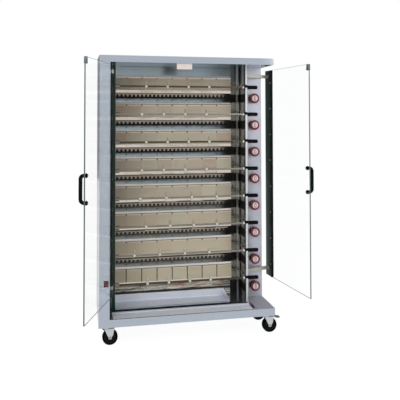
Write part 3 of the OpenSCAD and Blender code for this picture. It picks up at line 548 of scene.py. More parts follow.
def moulded_finish(name, colour, roughness, scale, wear, worn_colour, relief=0.15, metallic=0.0, coat=0.0,
                   gloss=0.3):
    """Moulded plastic, bakelite, paint or rubber: a fine skin texture, rubbed paler along its edges."""
    material, tree, shader, place = new_material(name, metallic, roughness, Specular_IOR_Level=gloss,
                                                 Coat_Weight=coat, Coat_Roughness=0.12)
    pitted = use(tree, "Fine Pitting", {"Place": place, "Scale": scale, "Strength": 1.0})
    marks = use(tree, "Smudges", {"Place": place, "Scale": 14.0, "Cover": 0.45})
    rubbed = use(tree, "Edge Wear", {"Place": place, "Width": 0.0012, "Amount": wear})["Mask"]
    value = calc(tree, "ADD", 1.0, calc(tree, "MULTIPLY", pitted["Tone"], PITTING_TONE))
    base = mixed(tree, rubbed, toned(tree, rgba(colour), value), rgba(worn_colour))
    tree.links.new(base, shader.inputs["Base Color"])
    uneven = calc(tree, "MULTIPLY", marks["Mask"], MOULDED_SMUDGE_ROUGHNESS)
    tree.links.new(calc(tree, "ADD", roughness, uneven, clamp=True), shader.inputs["Roughness"])
    bump(tree, shader, pitted["Height"], relief, PITTING_DEPTH)
    return material


def hole_mask(tree, parts, pitch):
    """One in each burner hole, on a square grid across a plaque's face."""
    distances = []
    for axis in (0, 2):
        turns = calc(tree, "FRACT", calc(tree, "DIVIDE", parts[axis], pitch))
        distances.append(calc(tree, "POWER", calc(tree, "SUBTRACT", turns, 0.5), 2.0))
    return spread(tree, calc(tree, "ADD", *distances), 0.03, 0.07, 1.0, 0.0, True)


# Heights above a plaque's foot where the highlight painted on its top edge starts and is full, and half the
# width of a clip
TOP_EDGE_START, TOP_EDGE = 0.0800, 0.0815
CLIP_HALF_WIDTH = 0.0042

# How strongly scorch marks, painted shade in the holes, the painted top-edge highlight and joints show, and
# the hairlines' width as a share of the lowest burner's joints
SCORCH_SHARE, HOLE_SHADE_SHARE, TOP_EDGE_HIGHLIGHT_SHARE = 0.45, 0.35, 0.55
HAIRLINE_SHARE, FRAME_SHARE = 0.3, 0.9
HAIRLINE_WIDTH = 0.4
CERAMIC_ROUGHNESS, SCORCH_GLOSS = 0.88, 0.12


def plaque_ceramic(name, scene):
    """Porous plaques with rows of fine holes darkened by painted shade, a tone for each, scorch marks,
    painted shade towards the left end, joints and clips, and a painted highlight along the top edges.
    """
    settings = scene.rotisserie_ceramic
    material, tree, shader, place = new_material(name, 0.0, 0.85)
    tile_pitch = (TILE_HIGH.x - TILE_LOW.x + TILE_JOINT) / TILES
    start = (TILE_LOW.x - TILE_JOINT / 2, 0.0, TILE_LOW.z)
    pitch = (tile_pitch, 10.0, LEVEL_PITCH)
    cells = use(tree, "Cell Tones", {"Place": place, "Start": start, "Pitch": pitch})
    marks = use(tree, "Smudges", {"Place": place, "Scale": 16.0, "Cover": settings.scorching})["Mask"]
    grit = use(tree, "Fine Pitting", {"Place": place, "Scale": 1400.0, "Strength": 1.0})["Height"]
    parts = apart(tree, place)
    hole = hole_mask(tree, parts, settings.hole_pitch)
    # Joints between the plaques: dark frames on the lowest burner, hairlines above it, and clips on top
    along = calc(tree, "DIVIDE", calc(tree, "SUBTRACT", parts[0], start[0]), tile_pitch)
    off_joint = calc(tree, "MULTIPLY", calc(tree, "PINGPONG", along, 0.5), tile_pitch)
    height = calc(tree, "FLOORED_MODULO", calc(tree, "SUBTRACT", parts[2], TILE_LOW.z), LEVEL_PITCH)
    lowest = calc(tree, "LESS_THAN", parts[2], TILE_LOW.z + LEVEL_PITCH)
    inner = calc(tree, "MULTIPLY", calc(tree, "GREATER_THAN", parts[0], start[0] + tile_pitch * 0.5),
                 calc(tree, "LESS_THAN", parts[0], TILE_HIGH.x - tile_pitch * 0.5))
    joint_width = settings.joint_width
    joint_width = spread(tree, lowest, 0.0, 1.0, joint_width * HAIRLINE_WIDTH, joint_width)
    in_joint = calc(tree, "MULTIPLY", calc(tree, "LESS_THAN", off_joint, joint_width), inner)
    joint_share = spread(tree, lowest, 0.0, 1.0, HAIRLINE_SHARE, FRAME_SHARE)
    in_joint = calc(tree, "MULTIPLY", in_joint, joint_share)
    joint_tone = mixed(tree, lowest, rgba(settings.edge_colour), rgba(settings.joint_colour))
    top_edge_highlight = spread(tree, height, TOP_EDGE_START, TOP_EDGE)
    clip = calc(tree, "MULTIPLY", calc(tree, "LESS_THAN", off_joint, CLIP_HALF_WIDTH),
                calc(tree, "GREATER_THAN", height, TOP_EDGE_START))
    # The colour, one coat over another: scorch marks, painted shade in the holes and towards the left end, a
    # fresh tint lower down, joints, a painted highlight along the top edges, and clips
    base = mixed(tree, cells["Tone"], rgba(settings.pale_colour), rgba(settings.warm_colour))
    base = toned(tree, base, spread(tree, cells["Second Tone"], 0.0, 1.0, 1.0 - settings.variation, 1.0))
    scorch_and_shade = rgba(settings.scorch_and_shade_colour)
    for mask, colour in (
            (calc(tree, "MULTIPLY", marks, SCORCH_SHARE), scorch_and_shade),
            # Painted shade in the burner holes
            (calc(tree, "MULTIPLY", hole, HOLE_SHADE_SHARE), scorch_and_shade),
            # Painted shade, darker towards the plaques' left end
            (spread(tree, parts[0], TILE_LOW.x, 0.1, 0.3, 0.0, True), scorch_and_shade),
            (spread(tree, parts[2], 1.0, 0.4, 0.0, 0.4, True), rgba(settings.fresh_colour)),
            (in_joint, joint_tone),
            # A painted highlight along the plaques' top edges
            (calc(tree, "MULTIPLY", top_edge_highlight, TOP_EDGE_HIGHLIGHT_SHARE), rgba(settings.edge_colour)),
            (calc(tree, "MULTIPLY", clip, inner), rgba(settings.joint_colour))):
        base = mixed(tree, mask, base, colour)
    tree.links.new(base, shader.inputs["Base Color"])
    rough = calc(tree, "SUBTRACT", CERAMIC_ROUGHNESS, calc(tree, "MULTIPLY", marks, SCORCH_GLOSS))
    tree.links.new(rough, shader.inputs["Roughness"])
    height = calc(tree, "SUBTRACT", calc(tree, "MULTIPLY", grit, 0.4), hole)
    bump(tree, shader, height, 0.5, CERAMIC_DEPTH)
    return material


ANYWHERE = (None, None, None)


def box_mask(tree, place, low, high):
    """One inside a box of the rest frame, and nothing outside."""
    parts = apart(tree, place)
    mask = None
    for axis in range(3):
        for limit, operation in ((low[axis], "GREATER_THAN"), (high[axis], "LESS_THAN")):
            if limit is not None:
                inside = calc(tree, operation, parts[axis], limit)
                mask = inside if mask is None else calc(tree, "MULTIPLY", mask, inside)
    return mask


def band_mask(tree, place, band, fade=0.004, low=ANYWHERE, high=ANYWHERE):
    """One in the band between two distances below each spit's axis, inside a box of the rest frame."""
    mask = use(tree, "Level Bands", {"Place": place, "Top": SPIT_TOP, "Pitch": LEVEL_PITCH, "From": band[0],
                                     "To": band[1], "Fade": fade})["Mask"]
    inside = box_mask(tree, place, low, high)
    return mask if inside is None else calc(tree, "MULTIPLY", mask, inside)


def notch_mask(tree, place, drop, half_width, half_height):
    """One in an upright oval over each of the shields' notches."""
    start = TILE_LOW.x - TILE_JOINT / 2 + NOTCH_PITCH / 2
    marks = use(tree, "Notch Shadows", {
        "Place": place, "Start": start, "Pitch": NOTCH_PITCH, "Top": SPIT_TOP, "Level Pitch": LEVEL_PITCH,
        "Drop": drop, "Half Width": half_width, "Half Height": half_height})["Mask"]
    return calc(tree, "MULTIPLY", marks, box_mask(tree, place, ANYWHERE, LIP_FACE))


def streak_mask(tree, place, stretch, cover, low, high):
    """Broken streaks inside a box of the rest frame."""
    stretched = vector_calc(tree, "MULTIPLY", place, stretch)
    marks = use(tree, "Smudges", {"Place": stretched, "Scale": 3.0, "Cover": cover})["Patches"]
    return calc(tree, "MULTIPLY", marks, box_mask(tree, place, low, high))


def slope_mask(tree, place, axis, start, end):
    """Grows from nothing to one between two places along an axis."""
    return spread(tree, apart(tree, place)[axis], start, end, smooth=True)


def end_mask(tree, place, start, end, band):
    """A band below each spit that grows along the machine."""
    return calc(tree, "MULTIPLY", slope_mask(tree, place, 0, start, end), band_mask(tree, place, band, 0.008))


# Dark specks in every painted area
SPECK_SHARE = 0.12
SPECK_COLOUR = (0.1, 0.09, 0.08, 1)


def painted(material, *coats):
    """Lays coats over a material. Each is a mask with its values, a colour, a roughness, a metal share and,
    where it covers only in part, how much."""
    for (make_mask, *values), colour, roughness, metallic, *share in coats:
        tree = material.node_tree
        shader = tree.nodes["Principled BSDF"]
        place = put(tree, "TexCoord").outputs["Object"]
        mask = make_mask(tree, place, *values)
        if share:
            mask = calc(tree, "MULTIPLY", mask, share[0])
        speck = use(tree, "Smudges", {"Place": place, "Scale": 40.0, "Cover": 0.5})["Mask"]
        spotted = mixed(tree, calc(tree, "MULTIPLY", speck, SPECK_SHARE), rgba(colour), SPECK_COLOUR)
        old = shader.inputs["Base Color"].links[0].from_socket
        tree.links.new(mixed(tree, mask, old, spotted), shader.inputs["Base Color"])
        for label, value in (("Roughness", roughness), ("Metallic", metallic)):
            if value is not None:
                socket = shader.inputs[label]
                before = socket.links[0].from_socket if socket.links else socket.default_value
                tree.links.new(spread(tree, mask, 0.0, 1.0, before, value), socket)
    return material


def glass_sheet(name, scene):
    """Glass that lets light through to what stands behind it, with faint grease marks."""
    clean, greasy = 0.01, 0.04
    material, tree, shader, place = new_material(name, 0.0, clean, Transmission_Weight=1.0, IOR=1.08)
    shader.inputs["Base Color"].default_value = rgba(scene.rotisserie_door.glass_colour)
    marks = use(tree, "Smudges", {"Place": place, "Scale": 5.0, "Cover": 0.3})["Mask"]
    tree.links.new(spread(tree, marks, 0.0, 1.0, clean, greasy), shader.inputs["Roughness"])
    through = put(tree, "BsdfTransparent", {0: (0.93, 0.97, 0.95, 1)}).outputs[0]
    shadow = put(tree, "LightPath").outputs["Is Shadow Ray"]
    blend = put(tree, "MixShader", {0: shadow, 1: shader.outputs[0], 2: through}).outputs[0]
    tree.links.new(blend, tree.nodes["Material Output"].inputs["Surface"])
    return material


# What a user can change
def colour_property(name, description, default):
    """A colour."""
    return FloatVectorProperty(name=name, description=description, default=default, subtype="COLOR",
                               min=0, max=1)


def length_property(name, description, default, low=0.0, high=1.0):
    """A length in metres."""
    return FloatProperty(name=name, description=description, default=default, min=low, max=high,
                         subtype="DISTANCE", unit="LENGTH")


def share_property(name, description, default, high=1.0):
    """A share from nothing to all."""
    return FloatProperty(name=name, description=description, default=default, min=0.0, max=high,
                         subtype="FACTOR")


class SteelSettings(PropertyGroup):
    """Sheet and bar steel."""
    panel_colour: colour_property("Panels", "Colour of the outer stainless panels", srgb(170, 178, 189))
    inner_colour: colour_property("Chamber", "Colour of the chamber's side walls", srgb(146, 145, 142))
    liner_colour: colour_property("Liner", "Colour of the back panel and the shields", srgb(136, 149, 155))
    burner_colour: colour_property("Burners", "Colour of the burner boxes", srgb(205, 198, 190))
    spit_colour: colour_property("Spits", "Colour of the fork screws and collars", srgb(206, 206, 198))
    bar_colour: colour_property("Dark bars", "Colour of the spits' darker bars", srgb(74, 68, 56))
    worn_colour: colour_property("Worn bars", "Colour of the bars rubbed paler by use", srgb(130, 125, 116))
    prong_colour: colour_property("Prongs", "Colour of the forks' plates and prongs", srgb(176, 169, 156))
    arm_colour: colour_property("Arms", "Colour of the right door's arms", srgb(168, 163, 156))
    catch_colour: colour_property("Catches", "Colour of the doors' catch plates", srgb(104, 106, 116))
    # This colour also serves as painted shade and shadow: in bands at each notched lip, behind the lips and
    # in their notches, and at the burners' right ends
    soot_and_shade_colour: colour_property("Soot", "Colour of the soot under the notched shields", srgb(14, 12, 12))
    tray_colour: colour_property("Tray", "Colour of the drip tray", srgb(240, 243, 252))
    zinc_colour: colour_property("Castors", "Colour of the zinc-plated castor forks", srgb(196, 200, 203))
    brass_colour: colour_property("Brass", "Colour of the gas rail and taps", srgb(122, 106, 78))
    grain: share_property("Grain", "Strength of the brushed grain", 0.6, 2.0)
    soiling: share_property("Handling marks", "Share of the steel that carries smudges", 0.35)
    heat_tint: share_property("Heat tint", "Strength of the straw to blue tint near the burners", 0.3)


class CeramicSettings(PropertyGroup):
    """Burner plaques."""
    pale_colour: colour_property("Pale plaques", "Colour of the palest plaques", srgb(186, 180, 160))
    warm_colour: colour_property("Warm plaques", "Colour of the warmest plaques", srgb(182, 165, 148))
    fresh_colour: colour_property("Fresh plaques", "Tint of the plaques lower down", srgb(220, 210, 178))
    # This colour also paints the shade in the burner holes and towards the plaques' left end
    scorch_and_shade_colour: colour_property("Scorched", "Colour of scorched patches and holes", srgb(122, 106, 90))
    joint_colour: colour_property("Joints", "Colour of the plaques' joints and clips", srgb(44, 34, 22))
    # The top edges' colour is a painted highlight, and the upper burners' hairline joints take it too
    edge_colour: colour_property("Top edges", "Colour of the plaques' top edges", srgb(214, 206, 192))
    joint_width: length_property("Joint width", "Half the width of the lowest burner's joints",
                                 0.0034, 0.0005, 0.006)
    variation: share_property("Variation", "Difference of brightness between plaques", 0.1)
    scorching: share_property("Scorching", "Share of the plaques that is scorched", 0.3)
    hole_pitch: length_property("Hole pitch", "Distance between the burner holes", 0.0036, 0.002, 0.01)


class MouldedSettings(PropertyGroup):
    """Plastic, paint and rubber."""
    grip_colour: colour_property("Grips", "Colour of the spit grips and door pulls", srgb(13, 12, 16))
    knob_colour: colour_property("Knob body", "Colour of the gas knobs' bodies", srgb(14, 13, 16))
    ring_colour: colour_property("Knob ring", "Colour of the gas knobs' rings", srgb(112, 8, 32))
    face_colour: colour_property("Knob face", "Colour of the gas knobs' faces", srgb(226, 210, 208))
    pointer_colour: colour_property("Pointer", "Colour of the gas knobs' pointers", srgb(122, 113, 112))
    bar_colour: colour_property("Hinge bars", "Colour of the doors' hinge bars", srgb(9, 11, 12))
    # The glass band's colour is a painted dark green reflection, on the right door's bands and the left
    # wall's flange strip
    reflection_band_colour: colour_property("Glass band", "Colour of the bands beside the hinge bars", srgb(30, 58, 50))
    edge_colour: colour_property("Glass edge", "Colour of the glass seen through its edges", srgb(66, 92, 84))
    rocker_colour: colour_property("Rocker", "Colour of the rocker switch", srgb(104, 14, 24))
    rubber_colour: colour_property("Tyres", "Colour of the castors' tyres", srgb(9, 9, 9))
    core_colour: colour_property("Wheel cores", "Colour of the castors' cores", srgb(20, 20, 21))
    pedal_colour: colour_property("Pedals", "Colour of the castors' brake pedals", srgb(92, 98, 98))
    plate_colour: colour_property("Stop plate", "Colour of the bare door-stop plate", srgb(232, 218, 212))
    paint_colour: colour_property("Motor", "Colour of the motor's paint", srgb(62, 66, 70))


class SpitSettings(PropertyGroup):
    """Spits, forks and grips."""
    bar_side: length_property("Bar", "Side of the square bar", 0.012, 0.006, 0.014)
    fork_count: IntProperty(name="Forks", description="Forks on each spit", default=4, min=1, max=6)
    fork_pitch: length_property("Fork pitch", "Distance between neighbouring forks", 0.152, 0.1, 0.17)
    prong_offset: length_property("Prong offset", "Distance from the axis to a prong", 0.024, 0.015, 0.03)
    prong_length: length_property("Prong length", "Length of a prong", 0.091, 0.04, 0.11)
    grip_radius: length_property("Grip radius", "Radius of the insulated grip", 0.0135, 0.010, 0.014)


class KnobSettings(PropertyGroup):
    """Gas knobs."""
    body_radius: length_property("Body radius", "Radius of the black body", 0.031, 0.02, 0.033)
    ring_radius: length_property("Ring radius", "Radius of the red ring", 0.036, 0.025, 0.037)
    reach: length_property("Reach", "How far a knob stands out", 0.045, 0.03, 0.046)
    flutes: IntProperty(name="Flutes", description="Flutes round the body", default=18, min=6, max=36)


class DoorSettings(PropertyGroup):
    """Glass doors and their hinges."""
    glass_colour: colour_property("Glass colour", "Colour of the clear glass", (0.985, 0.995, 0.99))
    glass_thickness: length_property("Glass", "Thickness of the glass", 0.008, 0.004, 0.012)
    pull_radius: length_property("Pull radius", "Radius of a pull's bar", 0.011, 0.006, 0.012)
    pull_reach: length_property("Pull reach", "Reach of a pull from the glass", 0.044, 0.03, 0.05)
    bolt_pitch: length_property("Bolt pitch", "Distance between the hinge bars' bolts", 0.19, 0.08, 0.4)


class StageSettings(PropertyGroup):
    """The studio."""
    floor_colour: colour_property("Floor", "Colour of the floor", (0.92, 0.92, 0.92))
    floor_glow: share_property("Floor white", "Share of the floor's white that shadow leaves alone", 0.86)
    world_light: FloatProperty(name="World light", description="Strength of the light from all round",
                               default=0.55, min=0.0, max=2.0)
    key_light: FloatProperty(name="Key light", description="Power of the large lamp on the left",
                             default=70.0, min=0.0, unit="POWER")
    fill_light: FloatProperty(name="Fill light", description="Power of the lamp on the right",
                              default=30.0, min=0.0, unit="POWER")
    back_light: share_property("Back light", "Brightness that steel reflects from behind the machine", 0.3)


SETTINGS = {"rotisserie_steel": SteelSettings, "rotisserie_ceramic": CeramicSettings,
            "rotisserie_moulded": MouldedSettings, "rotisserie_spit": SpitSettings,
            "rotisserie_knob": KnobSettings, "rotisserie_door": DoorSettings,
            "rotisserie_stage": StageSettings}

# Bands on the burners and shields, as distances below the axis of the spit above
LIP_FRONT = (0.020, 0.070)
LIP_ROOT = (0.030, 0.050)
END_SHADE = (0.030, 0.108)
WALL_SHADE = (0.040, 0.112)
LIP_SHADOW = (0.052, 0.082)
SHADE_UNDER_LIP = (0.052, 0.100)
SCREW_ROW = (0.085, 0.112)
LEDGE_HIGHLIGHT = (0.1100, 0.1185)
SLOPING_STRIP = (0.1185, 0.1245)
NOTCH = (0.0635, 0.0082, 0.0115)

# Places on the housing where its paint and sheets change
LIP_FACE = (None, SHIELD_LIP + 0.003, None)
SCREW_FACE = ((None, SHIELD_LIP + 0.006, None), (None, SHIELD_BACK - 0.0003, None))
TILE_END = TILE_HIGH.x
BESIDE_TILES = TILE_END + 0.001
WALL_FRONT = WALL_LOW.y + 0.004
WALL_EDGE = WALL_LOW.x + 0.005
BACK_FACE = BACK_REAR - 0.0004
PLAIN_LINER_FOOT = BASE_TOP + 0.125
PLAIN_LINER_TOP = HEADER_FOOT - 0.1
POST = (WALL_LOW.x - 0.030, WALL_LOW.x - 0.006)
POST_BACK = 0.1450
COLUMN_SIDE = 0.468
RIGHT_LEDGE = 0.470
CASE_FOOT, CASE_TOP = 0.386, 0.424
STOP_PLATE_LOW = (None, -0.1512, 1.7)
STOP_PLATE_HIGH = (None, -0.11, HEADER_FOOT)
DAM_FRONT, DAM_BACK, DAM_END = -0.042, -0.008, 0.446
PAN_FACE = BASE_TOP - 0.0004

# Colours painted on single areas of a finish
PAINT = {
    "right column": srgb(186, 186, 197), "pan floor": srgb(212, 216, 226), "lip shadow on pan": srgb(84, 88, 92),
    "right ledge": srgb(170, 170, 182), "wall shade": srgb(24, 24, 28), "wall edge highlight": srgb(206, 206, 208),
    "beside burners": srgb(150, 147, 140), "under header": srgb(92, 104, 108),
    "lowest liner": srgb(112, 106, 94), "pale streaks": srgb(236, 234, 222),
    "dark streaks": srgb(52, 48, 42), "copper streaks": srgb(196, 116, 84),
    "shade line above tray": srgb(70, 66, 60), "dark corner": srgb(34, 34, 38), "side streaks": srgb(46, 42, 38),
    "post": srgb(164, 164, 160), "lip root": srgb(132, 122, 112), "shade under lip": srgb(84, 87, 90),
    "shield dark reflection": srgb(52, 54, 60), "lower shields": srgb(92, 88, 80), "lip": srgb(150, 140, 130),
    "burner end shade": srgb(84, 80, 74), "ledge highlight": srgb(208, 206, 204), "sloping strip": srgb(120, 112, 104),
    "tray floor": srgb(206, 211, 222), "chain": srgb(120, 118, 112),
}

# How the brushed grain is drawn out on sheets, by the direction of its lines
UPRIGHT, LENGTHWISE = (900, 900, 6), (6, 900, 900)
ROUND_BAR = (40, 1500, 1500)


# Finishes that have areas of their own, each built the first time that a piece asks for it
def panel_steel(name, scene):
    """Outer sheets with an upright grain, the switch's black case and the paler right column among them."""
    steel, moulded = scene.rotisserie_steel, scene.rotisserie_moulded
    case_low = (BASE_LOW.x + 0.03, BASE_LOW.y - 0.0025, CASE_FOOT)
    case_high = (BASE_LOW.x + 0.06, BASE_LOW.y + 0.016, CASE_TOP)
    column_low, column_high = (COLUMN_SIDE, None, BASE_TOP + 0.001), (None, None, HEADER_FOOT - 0.001)
    return painted(
        steel_finish(name, steel.panel_colour, (900, 900, 5), roughness=0.24, grain=steel.grain,
                     soil=steel.soiling, soil_scale=2.2),
        ((box_mask, case_low, case_high), moulded.grip_colour, 0.45, 0.0),
        ((box_mask, column_low, column_high), PAINT["right column"], 0.4, 0.3, 0.75))


def level_steel(name, scene):
    """Bright sheet with its grain along the machine, the bare stop plate, a painted shadow inside the pan's
    front lip and a black strip of painted shade from the dam to the tray.
    """
    steel, moulded = scene.rotisserie_steel, scene.rotisserie_moulded
    above, level = BASE_TOP + 0.01, BASE_TOP + 0.0004
    return painted(
        steel_finish(name, steel.panel_colour, (5, 900, 900), roughness=0.1, grain=steel.grain * 0.7,
                     soil=steel.soiling, soil_scale=2.2, metallic=0.93, relief=0.08),
        ((box_mask, STOP_PLATE_LOW, STOP_PLATE_HIGH), moulded.plate_colour, 0.5, 0.0),
        ((box_mask, (LEFT_WALL, BASE_LOW.y - 0.001, PAN_FACE), (DAM_END, DAM_FRONT + 0.001, above)),
         PAINT["pan floor"], 0.4, 0.1),
        # A painted shadow of the front lip along the pan's top
        ((box_mask, (LEFT_WALL, BASE_LOW.y + 0.001, PAN_FACE), (DAM_END, BASE_LOW.y + 0.011, level)),
         PAINT["lip shadow on pan"], 0.5, 0.1),
        # A black strip of painted shade over the gap from the dam back to the tray's front
        ((box_mask, (LEFT_WALL, DAM_FRONT, PAN_FACE), (DAM_END, DAM_BACK, above)), moulded.grip_colour,
         0.6, 0.0),
        ((box_mask, (RIGHT_LEDGE, None, PAN_FACE), (None, None, level)), PAINT["right ledge"], 0.4, 0.3))


def chamber_steel(name, scene):
    """Bright side walls with a band of painted shade at each notched lip, and a strip of painted shade beside
    a painted highlight line down the right wall's front edge.
    """
    steel = scene.rotisserie_steel
    return painted(
        steel_finish(name, steel.inner_colour, UPRIGHT, roughness=0.12, grain=steel.grain * 0.7, soil=0.5,
                     soil_scale=4.0, relief=0.1, dull=0.8),
        # A band of painted shade at each notched lip, on the walls' front parts
        ((band_mask, WALL_SHADE, 0.010, (None, 0.0, None)), steel.soot_and_shade_colour, 0.5, 0.1),
        # A strip of painted shade on the right wall's inner edge
        ((box_mask, (WALL_LOW.x, None, None), (WALL_EDGE, WALL_FRONT, None)), PAINT["wall shade"], 0.5, 0.1),
        # A painted highlight line down the right wall's front edge
        ((box_mask, (WALL_EDGE, None, None), (WALL_HIGH.x + 0.001, WALL_FRONT, None)), PAINT["wall edge highlight"],
         0.4, 0.3))


def back_steel(name, scene):
    """The back panel: blue-grey over the burners, browner beside them with bands of painted shade and dark
    streaks, a painted shade line above the tray, a dark low corner and a plain post.
    """
    steel = scene.rotisserie_steel
    beside = (BESIDE_TILES, None, None)
    low_end = (BESIDE_TILES, BACK_FACE, PLAIN_LINER_FOOT)
    copper_low, copper_high = (-0.06, None, BASE_TOP + 0.080), (0.33, BACK_FACE, PLAIN_LINER_FOOT)
    line_low, line_high = (None, None, TRAY_TOP - 0.002), (BESIDE_TILES, BACK_FACE, TRAY_TOP + 0.012)
    side_low, side_high = (BESIDE_TILES, None, PLAIN_LINER_FOOT), (POST[0], BACK_FACE, PLAIN_LINER_TOP)
    return painted(
        steel_finish(name, steel.liner_colour, UPRIGHT, roughness=0.2, grain=steel.grain * 0.7, soil=0.3,
                     soil_scale=5.0, tint=steel.heat_tint * 0.6, metallic=0.92, relief=0.1, dull=0.9),
        ((box_mask, beside, (None, BACK_FACE, PLAIN_LINER_TOP)), PAINT["beside burners"], 0.2, 0.6),
        # A band of painted shade at each notched lip, beside the burners
        ((band_mask, WALL_SHADE, 0.010, beside, (None, BACK_FACE, None)), steel.soot_and_shade_colour, 0.5, 0.1),
        ((box_mask, (BESIDE_TILES, None, PLAIN_LINER_TOP), (None, BACK_FACE, None)), PAINT["under header"],
         0.3, 0.6),
        ((box_mask, ANYWHERE, low_end), PAINT["lowest liner"], 0.2, 0.7),
        ((streak_mask, (1.6, 1.0, 18.0), 0.5, ANYWHERE, low_end), PAINT["pale streaks"], 0.3, 0.3),
        ((streak_mask, (2.2, 1.0, 26.0), 0.36, ANYWHERE, low_end), PAINT["dark streaks"], 0.4, 0.2),
        ((streak_mask, (3.0, 1.0, 9.0), 0.5, copper_low, copper_high), PAINT["copper streaks"],
         0.4, 0.1, 0.8),
        # A line of painted shade just above the tray's back edge
        ((box_mask, line_low, line_high), PAINT["shade line above tray"], 0.5, 0.2),
        ((box_mask, beside, (None, BACK_FACE, PLAIN_LINER_FOOT)), PAINT["dark corner"], 0.3, 0.4),
        ((streak_mask, (16.0, 1.0, 12.0), 0.44, side_low, side_high), PAINT["side streaks"], 0.4, 0.2),
        ((box_mask, (POST[0], None, None), (POST[1], POST_BACK, None)), PAINT["post"], 0.22, 0.93))


def shield_steel(name, scene):
    """The notched shields: warm lips with painted shade and shadow under, behind and in their notches,
    blue-grey sheet with dark screws below, a painted dark reflection growing towards the right, and painted
    shade at the right ends.
    """
    steel = scene.rotisserie_steel
    soot_and_shade = steel.soot_and_shade_colour
    return painted(
        steel_finish(name, steel.liner_colour, LENGTHWISE, roughness=0.22, grain=steel.grain * 0.7, soil=0.2,
                     soil_scale=5.0, tint=steel.heat_tint * 0.6, metallic=0.92, relief=0.1, dull=0.9),
        ((band_mask, LIP_ROOT), PAINT["lip root"], 0.4, 0.5),
        # Painted shade under each lip, then a black painted shadow behind it
        ((band_mask, SHADE_UNDER_LIP, 0.022), PAINT["shade under lip"], 0.35, 0.6),
        ((band_mask, LIP_SHADOW, 0.006), soot_and_shade, 0.7, 0.0),
        # A painted dark reflection, growing towards the right
        ((slope_mask, 0, 0.1, TILE_END), PAINT["shield dark reflection"], None, None, 0.7),
        ((slope_mask, 2, 1.15, 0.85), PAINT["lower shields"], None, None, 0.6),
        ((band_mask, LIP_FRONT, 0.004, ANYWHERE, LIP_FACE), PAINT["lip"], 0.4, 0.3),
        # A painted shadow in each notch
        ((notch_mask, *NOTCH), soot_and_shade, 0.7, 0.0),
        ((band_mask, SCREW_ROW, 0.004, *SCREW_FACE), soot_and_shade, 0.4, 0.5),
        # Painted shade at the shields' right ends
        ((end_mask, TILE_END - 0.105, TILE_END - 0.03, END_SHADE), soot_and_shade, 0.6, 0.1))


def burner_steel(name, scene):
    """Polished ledges with a painted highlight along their fronts, sloping strips round the plaques, and
    painted shade at the burners' right ends.
    """
    steel = scene.rotisserie_steel
    ledge_low, ledge_high = (None, TILE_LOW.y + 0.001, None), (TILE_END, None, None)
    return painted(
        steel_finish(name, steel.burner_colour, LENGTHWISE, roughness=0.2, grain=steel.grain * 0.6,
                     soil=0.5, soil_scale=6.0, tint=steel.heat_tint * 0.6, metallic=0.92, relief=0.08,
                     dull=0.7),
        # Painted shade at the burners' right ends
        ((slope_mask, 0, TILE_END - 0.002, TILE_END + 0.004), PAINT["burner end shade"], 0.3, 0.8, 0.85),
        # A painted highlight along the ledges' fronts
        ((band_mask, LEDGE_HIGHLIGHT, 0.002, ledge_low, ledge_high), PAINT["ledge highlight"], 0.3, 0.3),
        ((band_mask, SLOPING_STRIP, 0.001, ANYWHERE, (None, TILE_HIGH.y, None)), PAINT["sloping strip"], 0.4,
         0.6))


def tray_steel(name, scene):
    """A pale back plate over a duller floor and front."""
    steel = scene.rotisserie_steel
    floor = (None, TRAY_BACK - 0.004, BASE_TOP + 0.030)
    return painted(
        steel_finish(name, steel.tray_colour, (5, 900, 900), roughness=0.3, grain=steel.grain * 0.5, soil=0.4,
                     soil_scale=3.5, tint=0.05, metallic=0.5, relief=0.06),
        ((box_mask, ANYWHERE, floor), PAINT["tray floor"], 0.4, 0.2))


def motor_paint(name, scene):
    """The motor's grey paint, with the chain's steel on the sprockets' line."""
    chain_low, chain_high = (BASE_LOW.x + 0.061, None, None), (BASE_LOW.x + 0.069, None, None)
    return painted(
        moulded_finish(name, scene.rotisserie_moulded.paint_colour, roughness=0.45, scale=700.0, wear=0.5,
                       worn_colour=(0.35, 0.35, 0.34), relief=0.3),
        ((box_mask, chain_low, chain_high), PAINT["chain"], 0.4, 0.9))


MADE_FINISHES = {"Panel steel": panel_steel, "Level steel": level_steel, "Chamber steel": chamber_steel,
                 "Back steel": back_steel, "Shield steel": shield_steel, "Burner steel": burner_steel,
                 "Tray steel": tray_steel, "Motor paint": motor_paint, "Plaque ceramic": plaque_ceramic,
                 "Glass sheet": glass_sheet}

# Finishes that are alike all over: the property with the colour, and what the finish takes besides
STEEL_FINISHES = {
    "Spit steel": ("spit_colour", dict(stretch=ROUND_BAR, roughness=0.3, grain=0.5, soil=0.45,
                                       soil_scale=12.0, tint=0.1, metallic=0.8, relief=0.15)),
    "Bar steel": ("bar_colour", dict(stretch=ROUND_BAR, roughness=0.3, grain=0.6, soil=0.5, soil_scale=12.0,
                                     tint=0.2, metallic=0.7, relief=0.12)),
    "Worn bar steel": ("worn_colour", dict(stretch=ROUND_BAR, roughness=0.34, grain=0.6, soil=0.5,
                                           soil_scale=12.0, metallic=0.6, relief=0.12)),
    "Prong steel": ("prong_colour", dict(stretch=ROUND_BAR, roughness=0.34, grain=0.6, soil=0.5,
                                         soil_scale=12.0, tint=0.2, metallic=0.6, relief=0.12)),
    "Machined steel": ("inner_colour", dict(stretch=(1500, 300, 300), roughness=0.34, grain=0.7, soil=0.5,
                                            soil_scale=18.0, metallic=0.95, relief=0.3)),
    "Arm steel": ("arm_colour", dict(stretch=(30, 900, 900), roughness=0.4, grain=0.6, soil=0.45,
                                     soil_scale=9.0, metallic=0.4, relief=0.2)),
    "Catch steel": ("catch_colour", dict(stretch=(900, 900, 40), roughness=0.38, grain=0.6, soil=0.45,
                                         soil_scale=30.0, metallic=0.85, relief=0.2)),
    "Zinc plating": ("zinc_colour", dict(stretch=(260, 260, 260), roughness=0.4, grain=0.9, soil=0.5,
                                         soil_scale=30.0, metallic=0.8, relief=0.1, dull=0.9)),
    "Gas brass": ("brass_colour", dict(stretch=(900, 900, 60), roughness=0.36, grain=0.6, soil=0.5,
                                       soil_scale=20.0, tint=0.3, metallic=0.95)),
}
